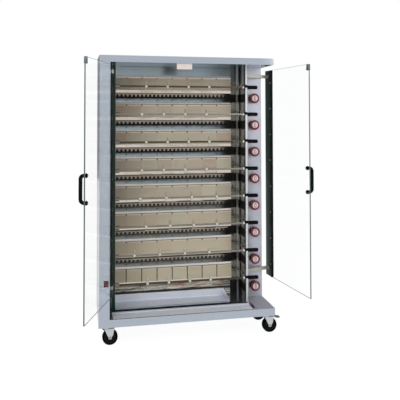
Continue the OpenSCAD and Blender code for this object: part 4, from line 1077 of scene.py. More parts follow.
MOULDED_FINISHES = {
    "Grip plastic": ("grip_colour", dict(roughness=0.42, scale=1100.0, wear=0.3,
                                         worn_colour=(0.03, 0.03, 0.035), gloss=0.05)),
    "Knob plastic": ("knob_colour", dict(roughness=0.38, scale=1300.0, wear=0.3,
                                         worn_colour=(0.04, 0.035, 0.035), gloss=0.05)),
    "Knob ring red": ("ring_colour", dict(roughness=0.3, scale=1600.0, wear=0.3,
                                          worn_colour=(0.55, 0.3, 0.3), relief=0.08, coat=0.4)),
    "Knob face pale": ("face_colour", dict(roughness=0.36, scale=1500.0, wear=0.25,
                                           worn_colour=(0.6, 0.55, 0.52), relief=0.1)),
    "Pointer grey": ("pointer_colour", dict(roughness=0.38, scale=1500.0, wear=0.4,
                                            worn_colour=(0.5, 0.48, 0.48), relief=0.1)),
    "Hinge black": ("bar_colour", dict(roughness=0.4, scale=800.0, wear=0.3, worn_colour=(0.1, 0.1, 0.1),
                                       relief=0.12, gloss=0.12)),
    "Band enamel": ("reflection_band_colour", dict(roughness=0.3, scale=400.0, wear=0.1, worn_colour=(0.1, 0.16, 0.14),
                                        relief=0.04, gloss=0.15)),
    "Rocker plastic": ("rocker_colour", dict(roughness=0.25, scale=1500.0, wear=0.25,
                                             worn_colour=(0.5, 0.2, 0.2), relief=0.06, coat=0.1)),
    "Tyre rubber": ("rubber_colour", dict(roughness=0.75, scale=700.0, wear=0.4,
                                          worn_colour=(0.02, 0.02, 0.02), relief=0.35, gloss=0.03)),
    "Wheel core": ("core_colour", dict(roughness=0.6, scale=900.0, wear=0.5,
                                       worn_colour=(0.03, 0.03, 0.03), relief=0.2, gloss=0.05)),
    "Pedal grey": ("pedal_colour", dict(roughness=0.45, scale=900.0, wear=0.5,
                                        worn_colour=(0.35, 0.36, 0.36), relief=0.2, metallic=0.3)),
    "Glass edge": ("edge_colour", dict(roughness=0.3, scale=1200.0, wear=0.6,
                                       worn_colour=(0.42, 0.5, 0.47), relief=0.2, coat=0.3)),
}


def look(name):
    """A finish by its name, made the first time that it is asked for."""
    scene = bpy.context.scene
    if name in bpy.data.materials:
        return bpy.data.materials[name]
    if name in MADE_FINISHES:
        return MADE_FINISHES[name](name, scene)
    steel = name in STEEL_FINISHES
    colour, values = (STEEL_FINISHES if steel else MOULDED_FINISHES)[name]
    settings = scene.rotisserie_steel if steel else scene.rotisserie_moulded
    make = steel_finish if steel else moulded_finish
    return make(name, getattr(settings, colour), **values)


# Shapes of the pieces
def spit_fork(bm, x, axis_z, settings, screw):
    """A clamp collar on the bar, its knurled screw, the yoke plate and two pointed prongs."""
    centre = Vector((x, SPIT_Y, axis_z))
    lathe(bm, centre - X * 0.008, X, round_bar(0.016, COLLAR_RADIUS, 0.001))
    threads = [(0.0095, 0.004)]
    for n in range(14):
        threads += [(0.0105 + n * 0.0013, 0.0041), (0.01115 + n * 0.0013, 0.0034)]
    lathe(bm, centre, Z, threads + [(0.0295, 0.0038)], screw, 14)
    knob = [(0.029, 0.0058), (0.0298, 0.007), (0.0362, 0.007), (0.037, 0.0060)]
    fluted(bm, centre, Z, knob, 18, 0.0005, screw, 3)
    plate, half_plate, end = x - 0.006, 0.0015, 0.005
    top, foot = (SPIT_Y, axis_z + settings.prong_offset), (SPIT_Y, axis_z - settings.prong_offset)
    outline = arc(top, end, 0, 180, 8) + arc(foot, end, 180, 360, 8)
    slab(bm, outline, 0, plate - half_plate, plate + half_plate, 0.0004, 3)
    length = settings.prong_length
    prong = [(0, 0.0020), (0.0005, 0.0025), (length - 0.016, 0.0025), (length - 0.008, 0.0018),
             (length - 0.002, 0.0008), (length, 0.0002)]
    weld = [(0, 0.0040), (0.0008, 0.0034), (0.0018, 0.0026)]
    for side in (-1, 1):
        start = Vector((plate - 0.0012, SPIT_Y, axis_z + side * settings.prong_offset))
        lathe(bm, start, X, prong, 3, 16)
        lathe(bm, start + X * 0.0026, X, weld, 0, 16, (False, False))


def spit_piece(k, settings):
    """A square bar with its collars, round journal and forks."""
    axis_z = middle(f"drive_socket_{k}").z
    half = settings.bar_side / 2
    low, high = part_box(f"spit_{k}")
    journal, grip_start = GRIP_LOW.x - JOURNAL_INSET, high.x - STUB
    collar, end_collar = 0.0118, 0.003
    bm = bmesh.new()
    brick(bm, (low.x, SPIT_Y - half, axis_z - half), (journal + 0.001, SPIT_Y + half, axis_z + half),
          0.0008, 1)
    start = Vector((journal, SPIT_Y, axis_z))
    end = Vector((grip_start, SPIT_Y, axis_z))
    lathe(bm, start, X, round_bar(0.012, COLLAR_RADIUS, 0.0012), 0, 36)
    shaft = [(0, 0.008), (grip_start - journal - collar - end_collar, 0.008)]
    lathe(bm, start + X * collar, X, shaft, 2, 36)
    ridge = [(0, 0.0103), (0.0006, COLLAR_RADIUS), (end_collar, COLLAR_RADIUS)]
    lathe(bm, end - X * end_collar, X, ridge, 2, 36)
    lathe(bm, end, X, [(0, 0.006), (STUB, 0.006)], 0, 24)
    first = SOCKET_END + FIRST_FORK + FORK_SHIFT[k - 1]
    for i in range(settings.fork_count):
        x = first + i * (settings.fork_pitch + FORK_SPREAD[k - 1])
        spit_fork(bm, x, axis_z, settings, 0 if k in BRIGHT_SCREWS else 3)
    bar = "Bar steel" if k in DARK_BARS else "Worn bar steel"
    finished(f"spit_bar_{k}", bm, ["Spit steel", bar, "Grip plastic", "Prong steel"], f"spit_unit_{k}",
             [f"spit_{k}"])


def grip_piece(k, settings):
    """An insulated grip with a waist and a rounded end, and the black bush beside the wall."""
    axis_z = middle(f"drive_socket_{k}").z
    radius, rounding = settings.grip_radius, 0.0075
    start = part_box(f"spit_{k}")[1].x - STUB
    length = GRIP_HIGH.x - start
    profile = [(0, 0.0062), (0.0001, radius - 0.0012), (0.0012, radius), (0.006, radius),
               (0.0075, radius - 0.0011), (0.009, radius - 0.0011), (0.0105, radius - 0.0002),
               (length * 0.5, radius), (length - 0.016, radius - 0.0002)]
    for angle in (20, 40, 58, 74, 86):
        turn = math.radians(angle)
        profile.append((length - rounding * (1 - math.sin(turn)), radius - rounding * (1 - math.cos(turn))))
    bm = bmesh.new()
    lathe(bm, Vector((start, SPIT_Y, axis_z)), X, profile, 0, 40)
    bush = [(0, 0.0081), (0.0001, 0.0112), (0.0009, 0.012), (0.0068, 0.012), (0.0079, 0.0112),
            (0.008, 0.0081)]
    lathe(bm, Vector((GRIP_LOW.x, SPIT_Y, axis_z)), X, bush, 0, 36, (False, False))
    finished(f"grip_handle_{k}", bm, ["Grip plastic"], f"spit_unit_{k}", [f"spit_grip_{k}"])


# Outlines of a knob's raised pointer and of the pale rib on it
KNOB_POINTER = [(-0.0085, 0.0), (-0.0070, 0.0120), (-0.0035, 0.0170), (0.0035, 0.0170), (0.0070, 0.0120),
                (0.0085, 0.0), (0.0070, -0.0120), (0.0035, -0.0170), (-0.0035, -0.0170), (-0.0070, -0.0120)]
KNOB_RIB = [(-0.0034, 0.0), (-0.0028, 0.0110), (0.0, 0.0140), (0.0028, 0.0110), (0.0034, 0.0),
            (0.0028, -0.0110), (0.0, -0.0140), (-0.0028, -0.0110)]


def knob_piece(k, settings):
    """A fluted black body, a red ring and a pale face with a raised pointer."""
    centre = middle(f"gas_knob_{k}")
    start = Vector((centre.x, COLUMN_LOW.y, centre.z))
    body, outer, reach = settings.body_radius, settings.ring_radius, settings.reach
    bm = bmesh.new()
    side = [(0.0005, body - 0.0008), (0.0015, body), (reach - 0.017, body - 0.0012),
            (reach - 0.0152, body - 0.0025)]
    fluted(bm, start, -Y, side, settings.flutes, 0.0010, 0, 4)
    red = [(0.0156, body - 0.003), (0.0152, outer - 0.0012), (0.0138, outer), (0.0102, outer),
           (0.0080, outer - 0.0016), (0.0060, outer - 0.0050), (0.0048, 0.0225), (0.0060, 0.0208)]
    lathe(bm, start, -Y, [(reach - back, radius) for back, radius in red], 1, 56, (True, False))
    pale = [(0.0070, 0.0212), (0.0030, 0.0208), (0.0012, 0.0200), (0.0004, 0.0186), (0.0008, 0.0168),
            (0.0010, 0.0010)]
    lathe(bm, start, -Y, [(reach - back, radius) for back, radius in pale], 2, 56, (False, True))
    front = start.y - reach
    for shape, low, high, finish in ((KNOB_POINTER, -0.0014, 0.0020, 3), (KNOB_RIB, -0.0019, 0.0, 2)):
        outline = [(start.x + x, start.z + z) for x, z in shape]
        slab(bm, outline, 1, front + low, front + high, 0.0007, finish)
    lathe(bm, start + Y * 0.023, -Y, [(0, 0.0036), (0.0006, 0.004), (0.0238, 0.004)], 4, 20)
    finishes = ["Knob plastic", "Knob ring red", "Knob face pale", "Pointer grey", "Machined steel"]
    finished(f"knob_head_{k}", bm, finishes, f"knob_{k}", [f"gas_knob_{k}"], 30)


# Doors are built closed, in a frame of their own, and then swung to where they stand at rest
def left_swing():
    """Moves the left door from its own frame to its place."""
    return Matrix.Translation((HINGE.x, HINGE.y, 0)) @ Matrix.Rotation(math.radians(-LEFT_OPEN), 4, "Z")


def right_swing():
    """Moves the right door from its own frame to its place."""
    shift = Matrix.Translation((CLOSED_BAR_X - PIVOT.x, HINGE.y - PIVOT.y, 0))
    turn = Matrix.Rotation(math.radians(RIGHT_OPEN), 4, "Z")
    return Matrix.Translation((PIVOT.x, PIVOT.y, 0)) @ turn @ shift


def door_width():
    """From a door's bar to the edge that meets the other door."""
    return (CLOSED_BAR_X - HINGE.x - DOOR_GAP) / 2


def arm_levels():
    """The heights of the brackets and arms."""
    return (GLASS_LOW.z + LOWER_ARM, GLASS_HIGH.z - UPPER_ARM)


def glass_pane(bm, start, end, thickness):
    """A sheet with clear faces and ground green edges."""
    half, low, high, soft = thickness / 2, GLASS_LOW.z, GLASS_HIGH.z, 0.0008
    corners = [(start, low), (end, low), (end, high), (start, high)]
    inner = [(start + soft, low + soft), (end - soft, low + soft), (end - soft, high - soft),
             (start + soft, high - soft)]
    layers = ((inner, -half), (corners, soft - half), (corners, half - soft), (inner, half))
    rings = [[Vector((x, y, z)) for x, z in shape] for shape, y in layers]
    skin(bm, rings, [0, 1, 1, 1, 0])


def pull_bar(bm, x, settings):
    """A bar bent into a D on the glass's outer face, with a rosette at each foot and washers inside."""
    half = settings.glass_thickness / 2
    radius, bend = settings.pull_radius, 0.020
    centre = (GLASS_LOW.z + GLASS_HIGH.z) / 2
    rise = PULL_HALF_HEIGHT - radius
    front = -half - settings.pull_reach + radius
    path = [(x, -half, centre - rise)]
    for angle in range(0, 91, 15):
        turn = math.radians(angle)
        path.append((x, front + bend * (1 - math.sin(turn)), centre - rise + bend * (1 - math.cos(turn))))
    path += [(px, py, 2 * centre - pz) for px, py, pz in path[::-1]]
    sweep(bm, path, radius, 20)
    rosette = [(0, radius + 0.0035), (0.0012, radius + 0.0035), (0.0024, radius + 0.0012)]
    for side in (-1, 1):
        foot = Vector((x, -half, centre + side * rise))
        back = Vector((x, half, centre + side * rise))
        lathe(bm, foot, -Y, rosette, 0, 28)
        lathe(bm, back, Y, [(0, 0.010), (0.0014, 0.010), (0.0022, 0.0085)], 0, 28)
        lathe(bm, back + Y * 0.0018, Y, [(0, 0.0052), (0.0008, 0.0052), (0.0014, 0.0040)], 1, 20)


def catch_plates(bm, x, half, finish):
    """Plates that cap the glass's top corner on both faces, with a screw head on the outer one."""
    top, plate, drop = GLASS_HIGH.z, 0.003, 0.040
    for side in (-1, 1):
        low, high = sorted((side * half, side * (half + plate)))
        brick(bm, (x - CATCH_HALF_WIDTH, low, top - drop), (x + CATCH_HALF_WIDTH, high, top), 0.0006, finish)
    screw_head(bm, Vector((x, -half - plate + 0.0001, top - drop / 2)), -Y, 0.0035, finish)


def left_hinge_bar(bm, settings):
    """The black section round the left door's edge, cut away where the brackets hold its rod."""
    low, high, half = GLASS_LOW.z, GLASS_HIGH.z, settings.glass_thickness / 2
    face, depth, slot, window = 0.007, 0.020, 0.012, 0.0123
    outline = arc((0, 0), face, 90, 270, 14)
    outline += [(depth, -face), (depth, -half), (slot, -half), (slot, half), (depth, half), (depth, face)]
    cuts = [low] + [level + side * window for level in arm_levels() for side in (-1, 1)] + [high]
    for start, end in zip(cuts[::2], cuts[1::2]):
        skin(bm, [[Vector((px, py, height)) for px, py in outline] for height in (start, end)])
        count = max(2, round((end - start) / settings.bolt_pitch))
        for n in range(count):
            level = start + (n + 0.5) * (end - start) / count
            for out in (-Y, Y):
                screw_head(bm, Vector((0.0155, 0, level)) + out * face, out, 0.0032, 1)
    lathe(bm, Vector((0, 0, low + 0.001)), Z, [(0, 0.005), (high - low - 0.002, 0.005)], 1, 28)


def right_arm(bm, level, settings):
    """A flat arm from the pivot rod to its clamp on the glass."""
    half = settings.glass_thickness / 2
    rod = Vector((PIVOT.x - CLOSED_BAR_X, PIVOT.y - HINGE.y))
    clamp = Vector((0.045, half + 0.004))
    along = (clamp - rod).normalized()
    side = Vector((-along.y, along.x)) * 0.004
    low, high = level - ARM_HALF_HEIGHT, level + ARM_HALF_HEIGHT
    slab(bm, [rod + side, rod - side, clamp - side, clamp + side], 2, low, high, 0.0008, 2)
    lathe(bm, Vector((rod.x, rod.y, low)), Z, round_bar(high - low, COLLAR_RADIUS, 0.001), 2)
    start, end = clamp.x - 0.014, clamp.x + 0.014
    for out, thick, bolt in ((1, 0.008, 0.0035), (-1, 0.004, 0.0030)):
        near, far = sorted((out * half, out * (half + thick)))
        brick(bm, (start, near, low), (end, far, high), 0.0010, 2)
        for x in (clamp.x - 0.007, clamp.x + 0.007):
            hex_bolt(bm, Vector((x, out * (half + thick), level)), Y * out, 0.0045, bolt, 1)


def right_hinge_bar(bm, settings):
    """Two black bars that clamp the right door's glass, with their bolts, and the pivot rod."""
    low, high, half = GLASS_LOW.z, GLASS_HIGH.z, settings.glass_thickness / 2
    half_width, thick = 0.0075, 0.006
    count = round((high - low) / settings.bolt_pitch)
    for out in (1, -1):
        near, far = sorted((out * half, out * (half + thick)))
        brick(bm, (-half_width, near, low), (half_width, far, high), 0.0010)
        for n in range(count):
            level = low + (n + 0.5) * (high - low) / count
            hex_bolt(bm, Vector((0, out * (half + thick), level)), Y * out, 0.0045, 0.0030, 1)
    rod = Vector((PIVOT.x - CLOSED_BAR_X, PIVOT.y - HINGE.y, BASE_TOP - 0.0045))
    lathe(bm, rod, Z, round_bar(HEADER_FOOT - BASE_TOP + 0.009, 0.006, 0.001), 1)


def wheel_piece(corner):
    """A rubber tyre with tread grooves on a dished core with ribs, and a sleeve round the axle."""
    low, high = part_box(f"castor_wheel_{corner}")
    centre = (low + high) / 2
    radius, half = (high.z - low.z) / 2, (high.y - low.y) / 2
    rim, hub, bore, dish = radius - 0.011, 0.012, 0.00405, 0.003
    # Half the tyre's outline, as radius and distance from its middle
    outer = [(rim, half), (radius - 0.004, half), (radius - 0.001, half - 0.002), (radius, half - 0.006),
             (radius, 0.0042), (radius - 0.0014, 0.0036), (radius - 0.0014, 0.0026), (radius, 0.0020)]
    profile = [(half - y, r) for r, y in outer] + [(half + y, r) for r, y in outer[::-1]]
    bm = bmesh.new()
    start = centre - Y * half
    lathe(bm, start, Y, profile, 0, 72, (False, False))
    core = [(0, rim), (dish, rim - 0.003), (dish, hub + 0.003), (0, hub), (0, bore)]
    for side, face in ((-1, start), (1, start + Y * 2 * half)):
        lathe(bm, face, Y * -side, core, 1, 72, (False, False))
        inside, top = face - Y * side * 0.0032, Y * side * 0.0027
        for n in range(6):
            angle = math.radians(n * 60 + 30)
            out = Vector((math.cos(angle), 0, math.sin(angle)))
            across = Vector((-math.sin(angle), 0, math.cos(angle))) * 0.0013
            ends = [inside + out * reach for reach in (0.0135, rim - 0.0015)]
            skin(bm, [[end + across, end - across, end - across + top, end + across + top]
                      for end in ends], 1)
    lathe(bm, start, Y, [(0, bore), (2 * half, bore)], 2, 24, (False, False))
    finished(f"wheel_tyre_{corner}", bm, ["Tyre rubber", "Wheel core", "Machined steel"], f"wheel_{corner}",
             [f"castor_wheel_{corner}"])


def castor_leg(bm, origin, axle_z, side):
    """A pressed leg that narrows to the axle, with a raised boss."""
    outline = [(-0.012, 0.1107), (0.055, 0.1107), (0.0465, 0.066)]
    outline += arc((CASTOR_TRAIL, axle_z), 0.0115, 15, -195, 16) + [(0.0105, 0.062)]
    outline = [(origin.x + x, z) for x, z in outline]
    inner, outer = 0.016, 0.020
    low, high = sorted((origin.y + side * inner, origin.y + side * outer))
    slab(bm, outline, 1, low, high, 0.0006)
    out = Y * side
    boss = Vector((origin.x + CASTOR_TRAIL, origin.y, axle_z)) + out * (outer - 0.0003)
    lathe(bm, boss, out, [(0, 0.0098), (0.0008, 0.0090), (0.0009, 0.0072)], 0, 28)
    hex_bolt(bm, boss + out * 0.0004, out, 0.0058, 0.0030, 1)


def brake_pedal(bm, origin):
    """A ribbed foot pedal that reaches out over the wheel."""
    outline = [(0.053, 0.1090), (0.053, 0.1032), (0.081, 0.0925), (0.0965, 0.0935), (0.1005, 0.0955),
               (0.101, 0.0985), (0.0985, 0.1003), (0.085, 0.1018)]
    slab(bm, [(origin.x + x, z) for x, z in outline], 1, origin.y - 0.014, origin.y + 0.014, 0.0012, 2)
    for n in range(5):
        low = (origin.x + 0.084 + n * 0.003, origin.y - 0.0115, 0.1000)
        high = (low[0] + 0.0014, origin.y + 0.0115, 0.1019 - n * 0.0001)
        brick(bm, low, high, 0.0003, 2)


def castor_piece(corner):
    """A swivel head with its ball race, a pressed fork, the axle bolt, and a brake pedal on the right."""
    wheel = middle(f"castor_wheel_{corner}")
    origin = Vector((wheel.x - CASTOR_TRAIL, wheel.y, 0))
    bm = bmesh.new()
    head = [(0.1097, 0.0255), (0.1108, 0.0285), (0.1130, 0.0300), (0.1160, 0.0300), (0.1166, 0.0285),
            (0.1176, 0.0285), (0.1182, 0.0300), (0.1206, 0.0300), (0.1217, 0.0285)]
    lathe(bm, origin, Z, head, 0, 48)
    lathe(bm, origin, Z, [(0.1207, 0.006), (0.1275, 0.006)], 1, 24)
    lathe(bm, origin, Z, [(0.1268, 0.0086), (0.1273, 0.009), (0.1322, 0.009), (0.1328, 0.0084)], 1, 6)
    low = (origin.x - 0.012, origin.y - 0.020, 0.1057)
    brick(bm, low, (origin.x + 0.055, origin.y + 0.020, 0.1107), 0.0012)
    for side in (-1, 1):
        castor_leg(bm, origin, wheel.z, side)
    lathe(bm, wheel - Y * 0.0215, Y, [(0, AXLE_RADIUS), (0.043, AXLE_RADIUS)], 1, 24)
    if corner.endswith("right"):
        brake_pedal(bm, origin)
    finished(f"castor_yoke_{corner}", bm, ["Zinc plating", "Machined steel", "Pedal grey"],
             f"castor_{corner}", [f"castor_fork_{corner}"], 30)


# Operators, one for each piece or group of like pieces
class ROTISSERIE_OT_housing(Operator):
    """Finish the base pan, the header and the two columns, with the screws in the back."""
    bl_idname = "rotisserie.housing"
    bl_label = "Housing"

    def execute(self, context):
        """Dress the housing's sheets and build the back's screws."""
        for node, finish in (("base_pan", "Level steel"), ("header_channel", "Level steel"),
                             ("left_column", "Panel steel"), ("right_column", "Panel steel")):
            dress(node, finish)
        sides = (BASE_LOW.x + 0.02, BASE_HIGH.x - 0.02)
        rows = (BASE_TOP + 0.03, HEADER_FOOT - 0.03)
        between, heights = (-0.3, 0.0, 0.3), (0.3, 0.75, 1.2, 1.65)
        spots = [(x, z) for x in (sides[0], *between, sides[1]) for z in rows]
        spots += [(x, z) for z in heights for x in sides]
        bm = bmesh.new()
        for x, z in spots:
            screw_head(bm, Vector((x, BASE_HIGH.y, z)), Y, 0.0045)
        finished("back_screws", bm, ["Machined steel"], "housing")
        return {"FINISHED"}


class ROTISSERIE_OT_chamber(Operator):
    """Finish the chamber's walls and back, with a dark green strip of painted reflection on the left wall's
    flange.
    """
    bl_idname = "rotisserie.chamber"
    bl_label = "Chamber"

    def execute(self, context):
        """Dress the walls and build the strip with its screws."""
        for node, finish in (("left_wall", "Chamber steel"), ("right_wall", "Chamber steel"),
                             ("back_panel", "Back steel")):
            dress(node, finish)
        flange_y, face_y = -0.014, -0.0152
        heights = (0.3, 0.55, 0.8, 1.0665, 1.33, 1.58, 1.8)
        bm = bmesh.new()
        # A dark green strip on the left wall's flange, a painted reflection of the glass, with its screws
        brick(bm, (LEFT_WALL + 0.001, face_y, BASE_TOP + 0.001),
              (LEFT_WALL + 0.023, flange_y + 0.0002, HEADER_FOOT - 0.001), 0.0004)
        for level in heights:
            screw_head(bm, Vector((LEFT_WALL + 0.005, face_y + 0.0001, level)), -Y, 0.0028, 1)
        finished("flange_strip", bm, ["Band enamel", "Machined steel"], "housing")
        return {"FINISHED"}


class ROTISSERIE_OT_burners(Operator):
    """Finish the burner boxes, the notched shields and the ceramic plaques."""
    bl_idname = "rotisserie.burners"
    bl_label = "Burners"

    def execute(self, context):
        """Dress the burners' nodes."""
        for node, finish in (("burner_boxes", "Burner steel"), ("burner_shields", "Shield steel"),
                             ("ceramic_plaques", "Plaque ceramic")):
            dress(node, finish)
        return {"FINISHED"}


class ROTISSERIE_OT_gas_and_drive(Operator):
    """Finish the gas rail with its taps, the motor with its chain, and the drive sockets."""
    bl_idname = "rotisserie.gas_and_drive"
    bl_label = "Gas and drive"

    def execute(self, context):
        """Dress the nodes inside the columns and the spits' sockets."""
        dress("gas_rail", "Gas brass")
        dress("drive_motor", "Motor paint")
        for k in LEVELS:
            dress(f"drive_socket_{k}", "Worn bar steel")
        return {"FINISHED"}


class ROTISSERIE_OT_spits(Operator):
    """Build the spits with their forks."""
    bl_idname = "rotisserie.spits"
    bl_label = "Spits"

    def execute(self, context):
        """Build a spit for each burner."""
        for k in LEVELS:
            spit_piece(k, context.scene.rotisserie_spit)
        return {"FINISHED"}


class ROTISSERIE_OT_grips(Operator):
    """Build the spits' black grips."""
    bl_idname = "rotisserie.grips"
    bl_label = "Grips"

    def execute(self, context):
        """Build a grip for each spit."""
        for k in LEVELS:
            grip_piece(k, context.scene.rotisserie_spit)
        return {"FINISHED"}


class ROTISSERIE_OT_knobs(Operator):
    """Build the gas knobs."""
    bl_idname = "rotisserie.knobs"
    bl_label = "Gas knobs"

    def execute(self, context):
        """Build a knob for each burner."""
        for k in LEVELS:
            knob_piece(k, context.scene.rotisserie_knob)
        return {"FINISHED"}


class ROTISSERIE_OT_left_door(Operator):
    """Build the left door: glass, hinge bar, catch plates and pull."""
    bl_idname = "rotisserie.left_door"
    bl_label = "Left door"

    def execute(self, context):
        """Build the left door's pieces."""
        settings = context.scene.rotisserie_door
        half, width = settings.glass_thickness / 2, door_width()
        pane, bar, pull = bmesh.new(), bmesh.new(), bmesh.new()
        glass_pane(pane, 0.012, width, settings.glass_thickness)
        left_hinge_bar(bar, settings)
        catch_plates(bar, width - CATCH_HALF_WIDTH, half, 2)
        pull_bar(pull, width - PULL_INSET, settings)
        finished("left_pane", pane, ["Glass sheet", "Glass edge"], "left_door",
                 ["left_door_glass"], 20, left_swing())
        finished("left_hinge_bar", bar, ["Hinge black", "Machined steel", "Catch steel"], "left_door",
                 ["left_door_frame"], 30, left_swing())
        finished("left_pull", pull, ["Grip plastic", "Machined steel"], "left_door",
                 ["left_door_pull"], 40, left_swing())
        return {"FINISHED"}


class ROTISSERIE_OT_right_door(Operator):
    """Build the right door: glass, clamped bar, arms on the pivot rod, a dark band of painted reflection,
    catch plates and pull.
    """
    bl_idname = "rotisserie.right_door"
    bl_label = "Right door"

    def execute(self, context):
        """Build the right door's pieces."""
        settings = context.scene.rotisserie_door
        half, width = settings.glass_thickness / 2, door_width()
        pane, bar, band, pull = bmesh.new(), bmesh.new(), bmesh.new(), bmesh.new()
        glass_pane(pane, -width, BEYOND_BAR, settings.glass_thickness)
        right_hinge_bar(bar, settings)
        for level in arm_levels():
            right_arm(bar, level, settings)
        catch_plates(bar, -width + CATCH_HALF_WIDTH, half, 3)
        # Thin dark green sheets on both faces of the glass beyond the bar, a painted reflection
        for side in (-1, 1):
            low, high = sorted((side * half, side * (half + 0.0005)))
            brick(band, (0.0076, low, GLASS_LOW.z + 0.0008),
                  (BEYOND_BAR - 0.0008, high, GLASS_HIGH.z - 0.0008), 0.0001)
        pull_bar(pull, -width + PULL_INSET, settings)
        finished("right_pane", pane, ["Glass sheet", "Glass edge"], "right_door",
                 ["right_door_glass"], 20, right_swing())
        finished("right_hinge_bar", bar, ["Hinge black", "Machined steel", "Arm steel", "Catch steel"],
                 "right_door", ["right_door_frame"], 30, right_swing())
        finished("right_band", band, ["Band enamel"], "right_door", (), 30, right_swing())
        finished("right_pull", pull, ["Grip plastic", "Machined steel"], "right_door",
                 ["right_door_pull"], 40, right_swing())
        return {"FINISHED"}


class ROTISSERIE_OT_tray(Operator):
    """Finish the drip tray."""
    bl_idname = "rotisserie.tray"
    bl_label = "Drip tray"

    def execute(self, context):
        """Dress the tray."""
        dress("drip_tray", "Tray steel")
        return {"FINISHED"}


class ROTISSERIE_OT_rocker(Operator):
    """Finish the rocker switch."""
    bl_idname = "rotisserie.rocker"
    bl_label = "Rocker switch"

    def execute(self, context):
        """Dress the rocker."""
        dress("rocker_switch", "Rocker plastic")
        return {"FINISHED"}


class ROTISSERIE_OT_castors(Operator):
    """Build the castors' forks, pedals and wheels."""
    bl_idname = "rotisserie.castors"
    bl_label = "Castors"

    def execute(self, context):
        """Build a fork and a wheel at each corner."""
        for corner in CORNERS:
            castor_piece(corner)
            wheel_piece(corner)
        return {"FINISHED"}


def seen_white(tree):
    """One for the rays that meet the studio from the camera, off metal or through glass."""
    path = put(tree, "LightPath").outputs
    both = calc(tree, "ADD", path["Is Camera Ray"], path["Is Glossy Ray"])
    return calc(tree, "ADD", both, path["Is Transmission Ray"], clamp=True)


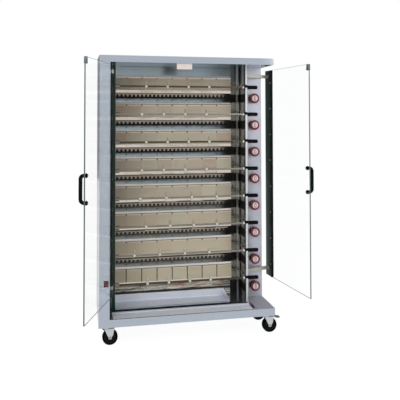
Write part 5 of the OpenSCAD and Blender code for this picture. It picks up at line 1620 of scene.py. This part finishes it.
class ROTISSERIE_OT_stage(Operator):
    """Set the floor, the soft light and the camera of the photograph's view."""
    bl_idname = "rotisserie.stage"
    bl_label = "Stage"

    def execute(self, context):
        """Build the studio."""
        scene = context.scene
        settings = scene.rotisserie_stage
        self.make_world(scene, settings)
        self.make_floor(scene, settings)
        self.make_lamps(scene, settings)
        self.make_camera(scene)
        scene.view_settings.view_transform = "Standard"
        return {"FINISHED"}

    def make_world(self, scene, settings):
        """White to the camera, softer as light, and darker where level mirrors meet the studio's back."""
        world = bpy.data.worlds.new("Studio white")
        scene.world = world
        world.use_nodes = True
        tree = world.node_tree
        strength = spread(tree, seen_white(tree), 0.0, 1.0, settings.world_light, 1.0)
        way = apart(tree, put(tree, "TexCoord").outputs["Generated"])
        behind = spread(tree, way[1], 0.55, 0.75, smooth=True)
        low = spread(tree, way[2], 0.35, 0.65, 1.0, 0.0, True)
        path = put(tree, "LightPath").outputs
        mirrored = calc(tree, "SUBTRACT", path["Is Glossy Ray"], path["Is Transmission Ray"], clamp=True)
        dark = calc(tree, "MULTIPLY", calc(tree, "MULTIPLY", behind, low), mirrored)
        strength = calc(tree, "MULTIPLY", strength, spread(tree, dark, 0.0, 1.0, 1.0, settings.back_light))
        sky = tree.nodes["Background"]
        sky.inputs["Color"].default_value = (1, 1, 1, 1)
        tree.links.new(strength, sky.inputs["Strength"])

    def make_floor(self, scene, settings):
        """A wide floor that stays white and still takes the machine's shadow."""
        reach, white = 9, 1.08
        bm = bmesh.new()
        corners = ((-reach, -reach, 0), (reach, -reach, 0), (reach, reach, 0), (-reach, reach, 0))
        bm.faces.new([bm.verts.new(spot) for spot in corners])
        mesh = bpy.data.meshes.new("Studio floor")
        bm.to_mesh(mesh)
        bm.free()
        floor = bpy.data.objects.new("Studio_floor", mesh)
        scene.collection.objects.link(floor)
        material = bpy.data.materials.new("Studio floor")
        material.use_nodes = True
        tree = material.node_tree
        tree.nodes.remove(tree.nodes["Principled BSDF"])
        glow = put(tree, "Emission", {"Color": (1, 1, 1, 1), "Strength": white}).outputs[0]
        matt = put(tree, "BsdfDiffuse", {"Color": rgba(settings.floor_colour)}).outputs[0]
        share = calc(tree, "MULTIPLY", seen_white(tree), settings.floor_glow)
        both = put(tree, "MixShader", {0: share, 1: matt, 2: glow}).outputs[0]
        tree.links.new(both, tree.nodes["Material Output"].inputs["Surface"])
        mesh.materials.append(material)

    def make_lamps(self, scene, settings):
        """Two large round lamps that aim at the machine's middle."""
        for name, power, spot, size in (("Key lamp", settings.key_light, (-2.6, -3.4, 3.2), 2.6),
                                        ("Fill lamp", settings.fill_light, (2.8, -2.8, 2.2), 2.2)):
            lamp = bpy.data.lights.new(name, "AREA")
            lamp.energy = power
            lamp.shape = "DISK"
            lamp.size = size
            holder = bpy.data.objects.new(name, lamp)
            holder.location = spot
            aim = Vector((0, 0, 0.95)) - Vector(spot)
            holder.rotation_euler = aim.to_track_quat("-Z", "Y").to_euler()
            scene.collection.objects.link(holder)

    def make_camera(self, scene):
        """The photograph's view."""
        data = bpy.data.cameras.new("Photograph view")
        data.sensor_width = 36.0
        data.lens = 46.505
        data.shift_x, data.shift_y = 0.075, -0.244
        data.clip_end = 60.0
        camera = bpy.data.objects.new("Photograph view", data)
        camera.location = (-0.7654, -3.5138, 1.4727)
        camera.rotation_euler = tuple(math.radians(turn) for turn in (91.62, 0.0, -10.705))
        scene.collection.objects.link(camera)
        scene.camera = camera


STEPS = (ROTISSERIE_OT_stage, ROTISSERIE_OT_housing, ROTISSERIE_OT_chamber, ROTISSERIE_OT_burners,
         ROTISSERIE_OT_gas_and_drive, ROTISSERIE_OT_tray, ROTISSERIE_OT_rocker, ROTISSERIE_OT_spits,
         ROTISSERIE_OT_grips, ROTISSERIE_OT_knobs, ROTISSERIE_OT_left_door, ROTISSERIE_OT_right_door,
         ROTISSERIE_OT_castors)


class ROTISSERIE_PT_pieces(Panel):
    """Lists the pieces and what can be changed on them."""
    bl_idname = "ROTISSERIE_PT_pieces"
    bl_label = "Rotisserie"
    bl_space_type = "VIEW_3D"
    bl_region_type = "UI"
    bl_category = "Rotisserie"

    def draw(self, context):
        """Show a button for each operator and the settings of each group."""
        column = self.layout.column(align=True)
        for step in STEPS:
            column.operator(step.bl_idname)
        for pointer, group in SETTINGS.items():
            box = self.layout.box()
            box.label(text=group.__doc__)
            for name in group.__annotations__:
                box.prop(getattr(context.scene, pointer), name)


CLASSES = (*SETTINGS.values(), *STEPS, ROTISSERIE_PT_pieces)


def register():
    """Register the classes and hang the settings on the scene."""
    for kind in CLASSES:
        bpy.utils.register_class(kind)
    for pointer, group in SETTINGS.items():
        setattr(bpy.types.Scene, pointer, PointerProperty(type=group))


def unregister():
    """Take the settings and the classes away again."""
    for pointer in SETTINGS:
        delattr(bpy.types.Scene, pointer)
    for kind in reversed(CLASSES):
        bpy.utils.unregister_class(kind)


def main():
    """Build everything in order."""
    register()
    for step in STEPS:
        family, action = step.bl_idname.split(".")
        getattr(getattr(bpy.ops, family), action)()


if __name__ == "__main__":
    main()
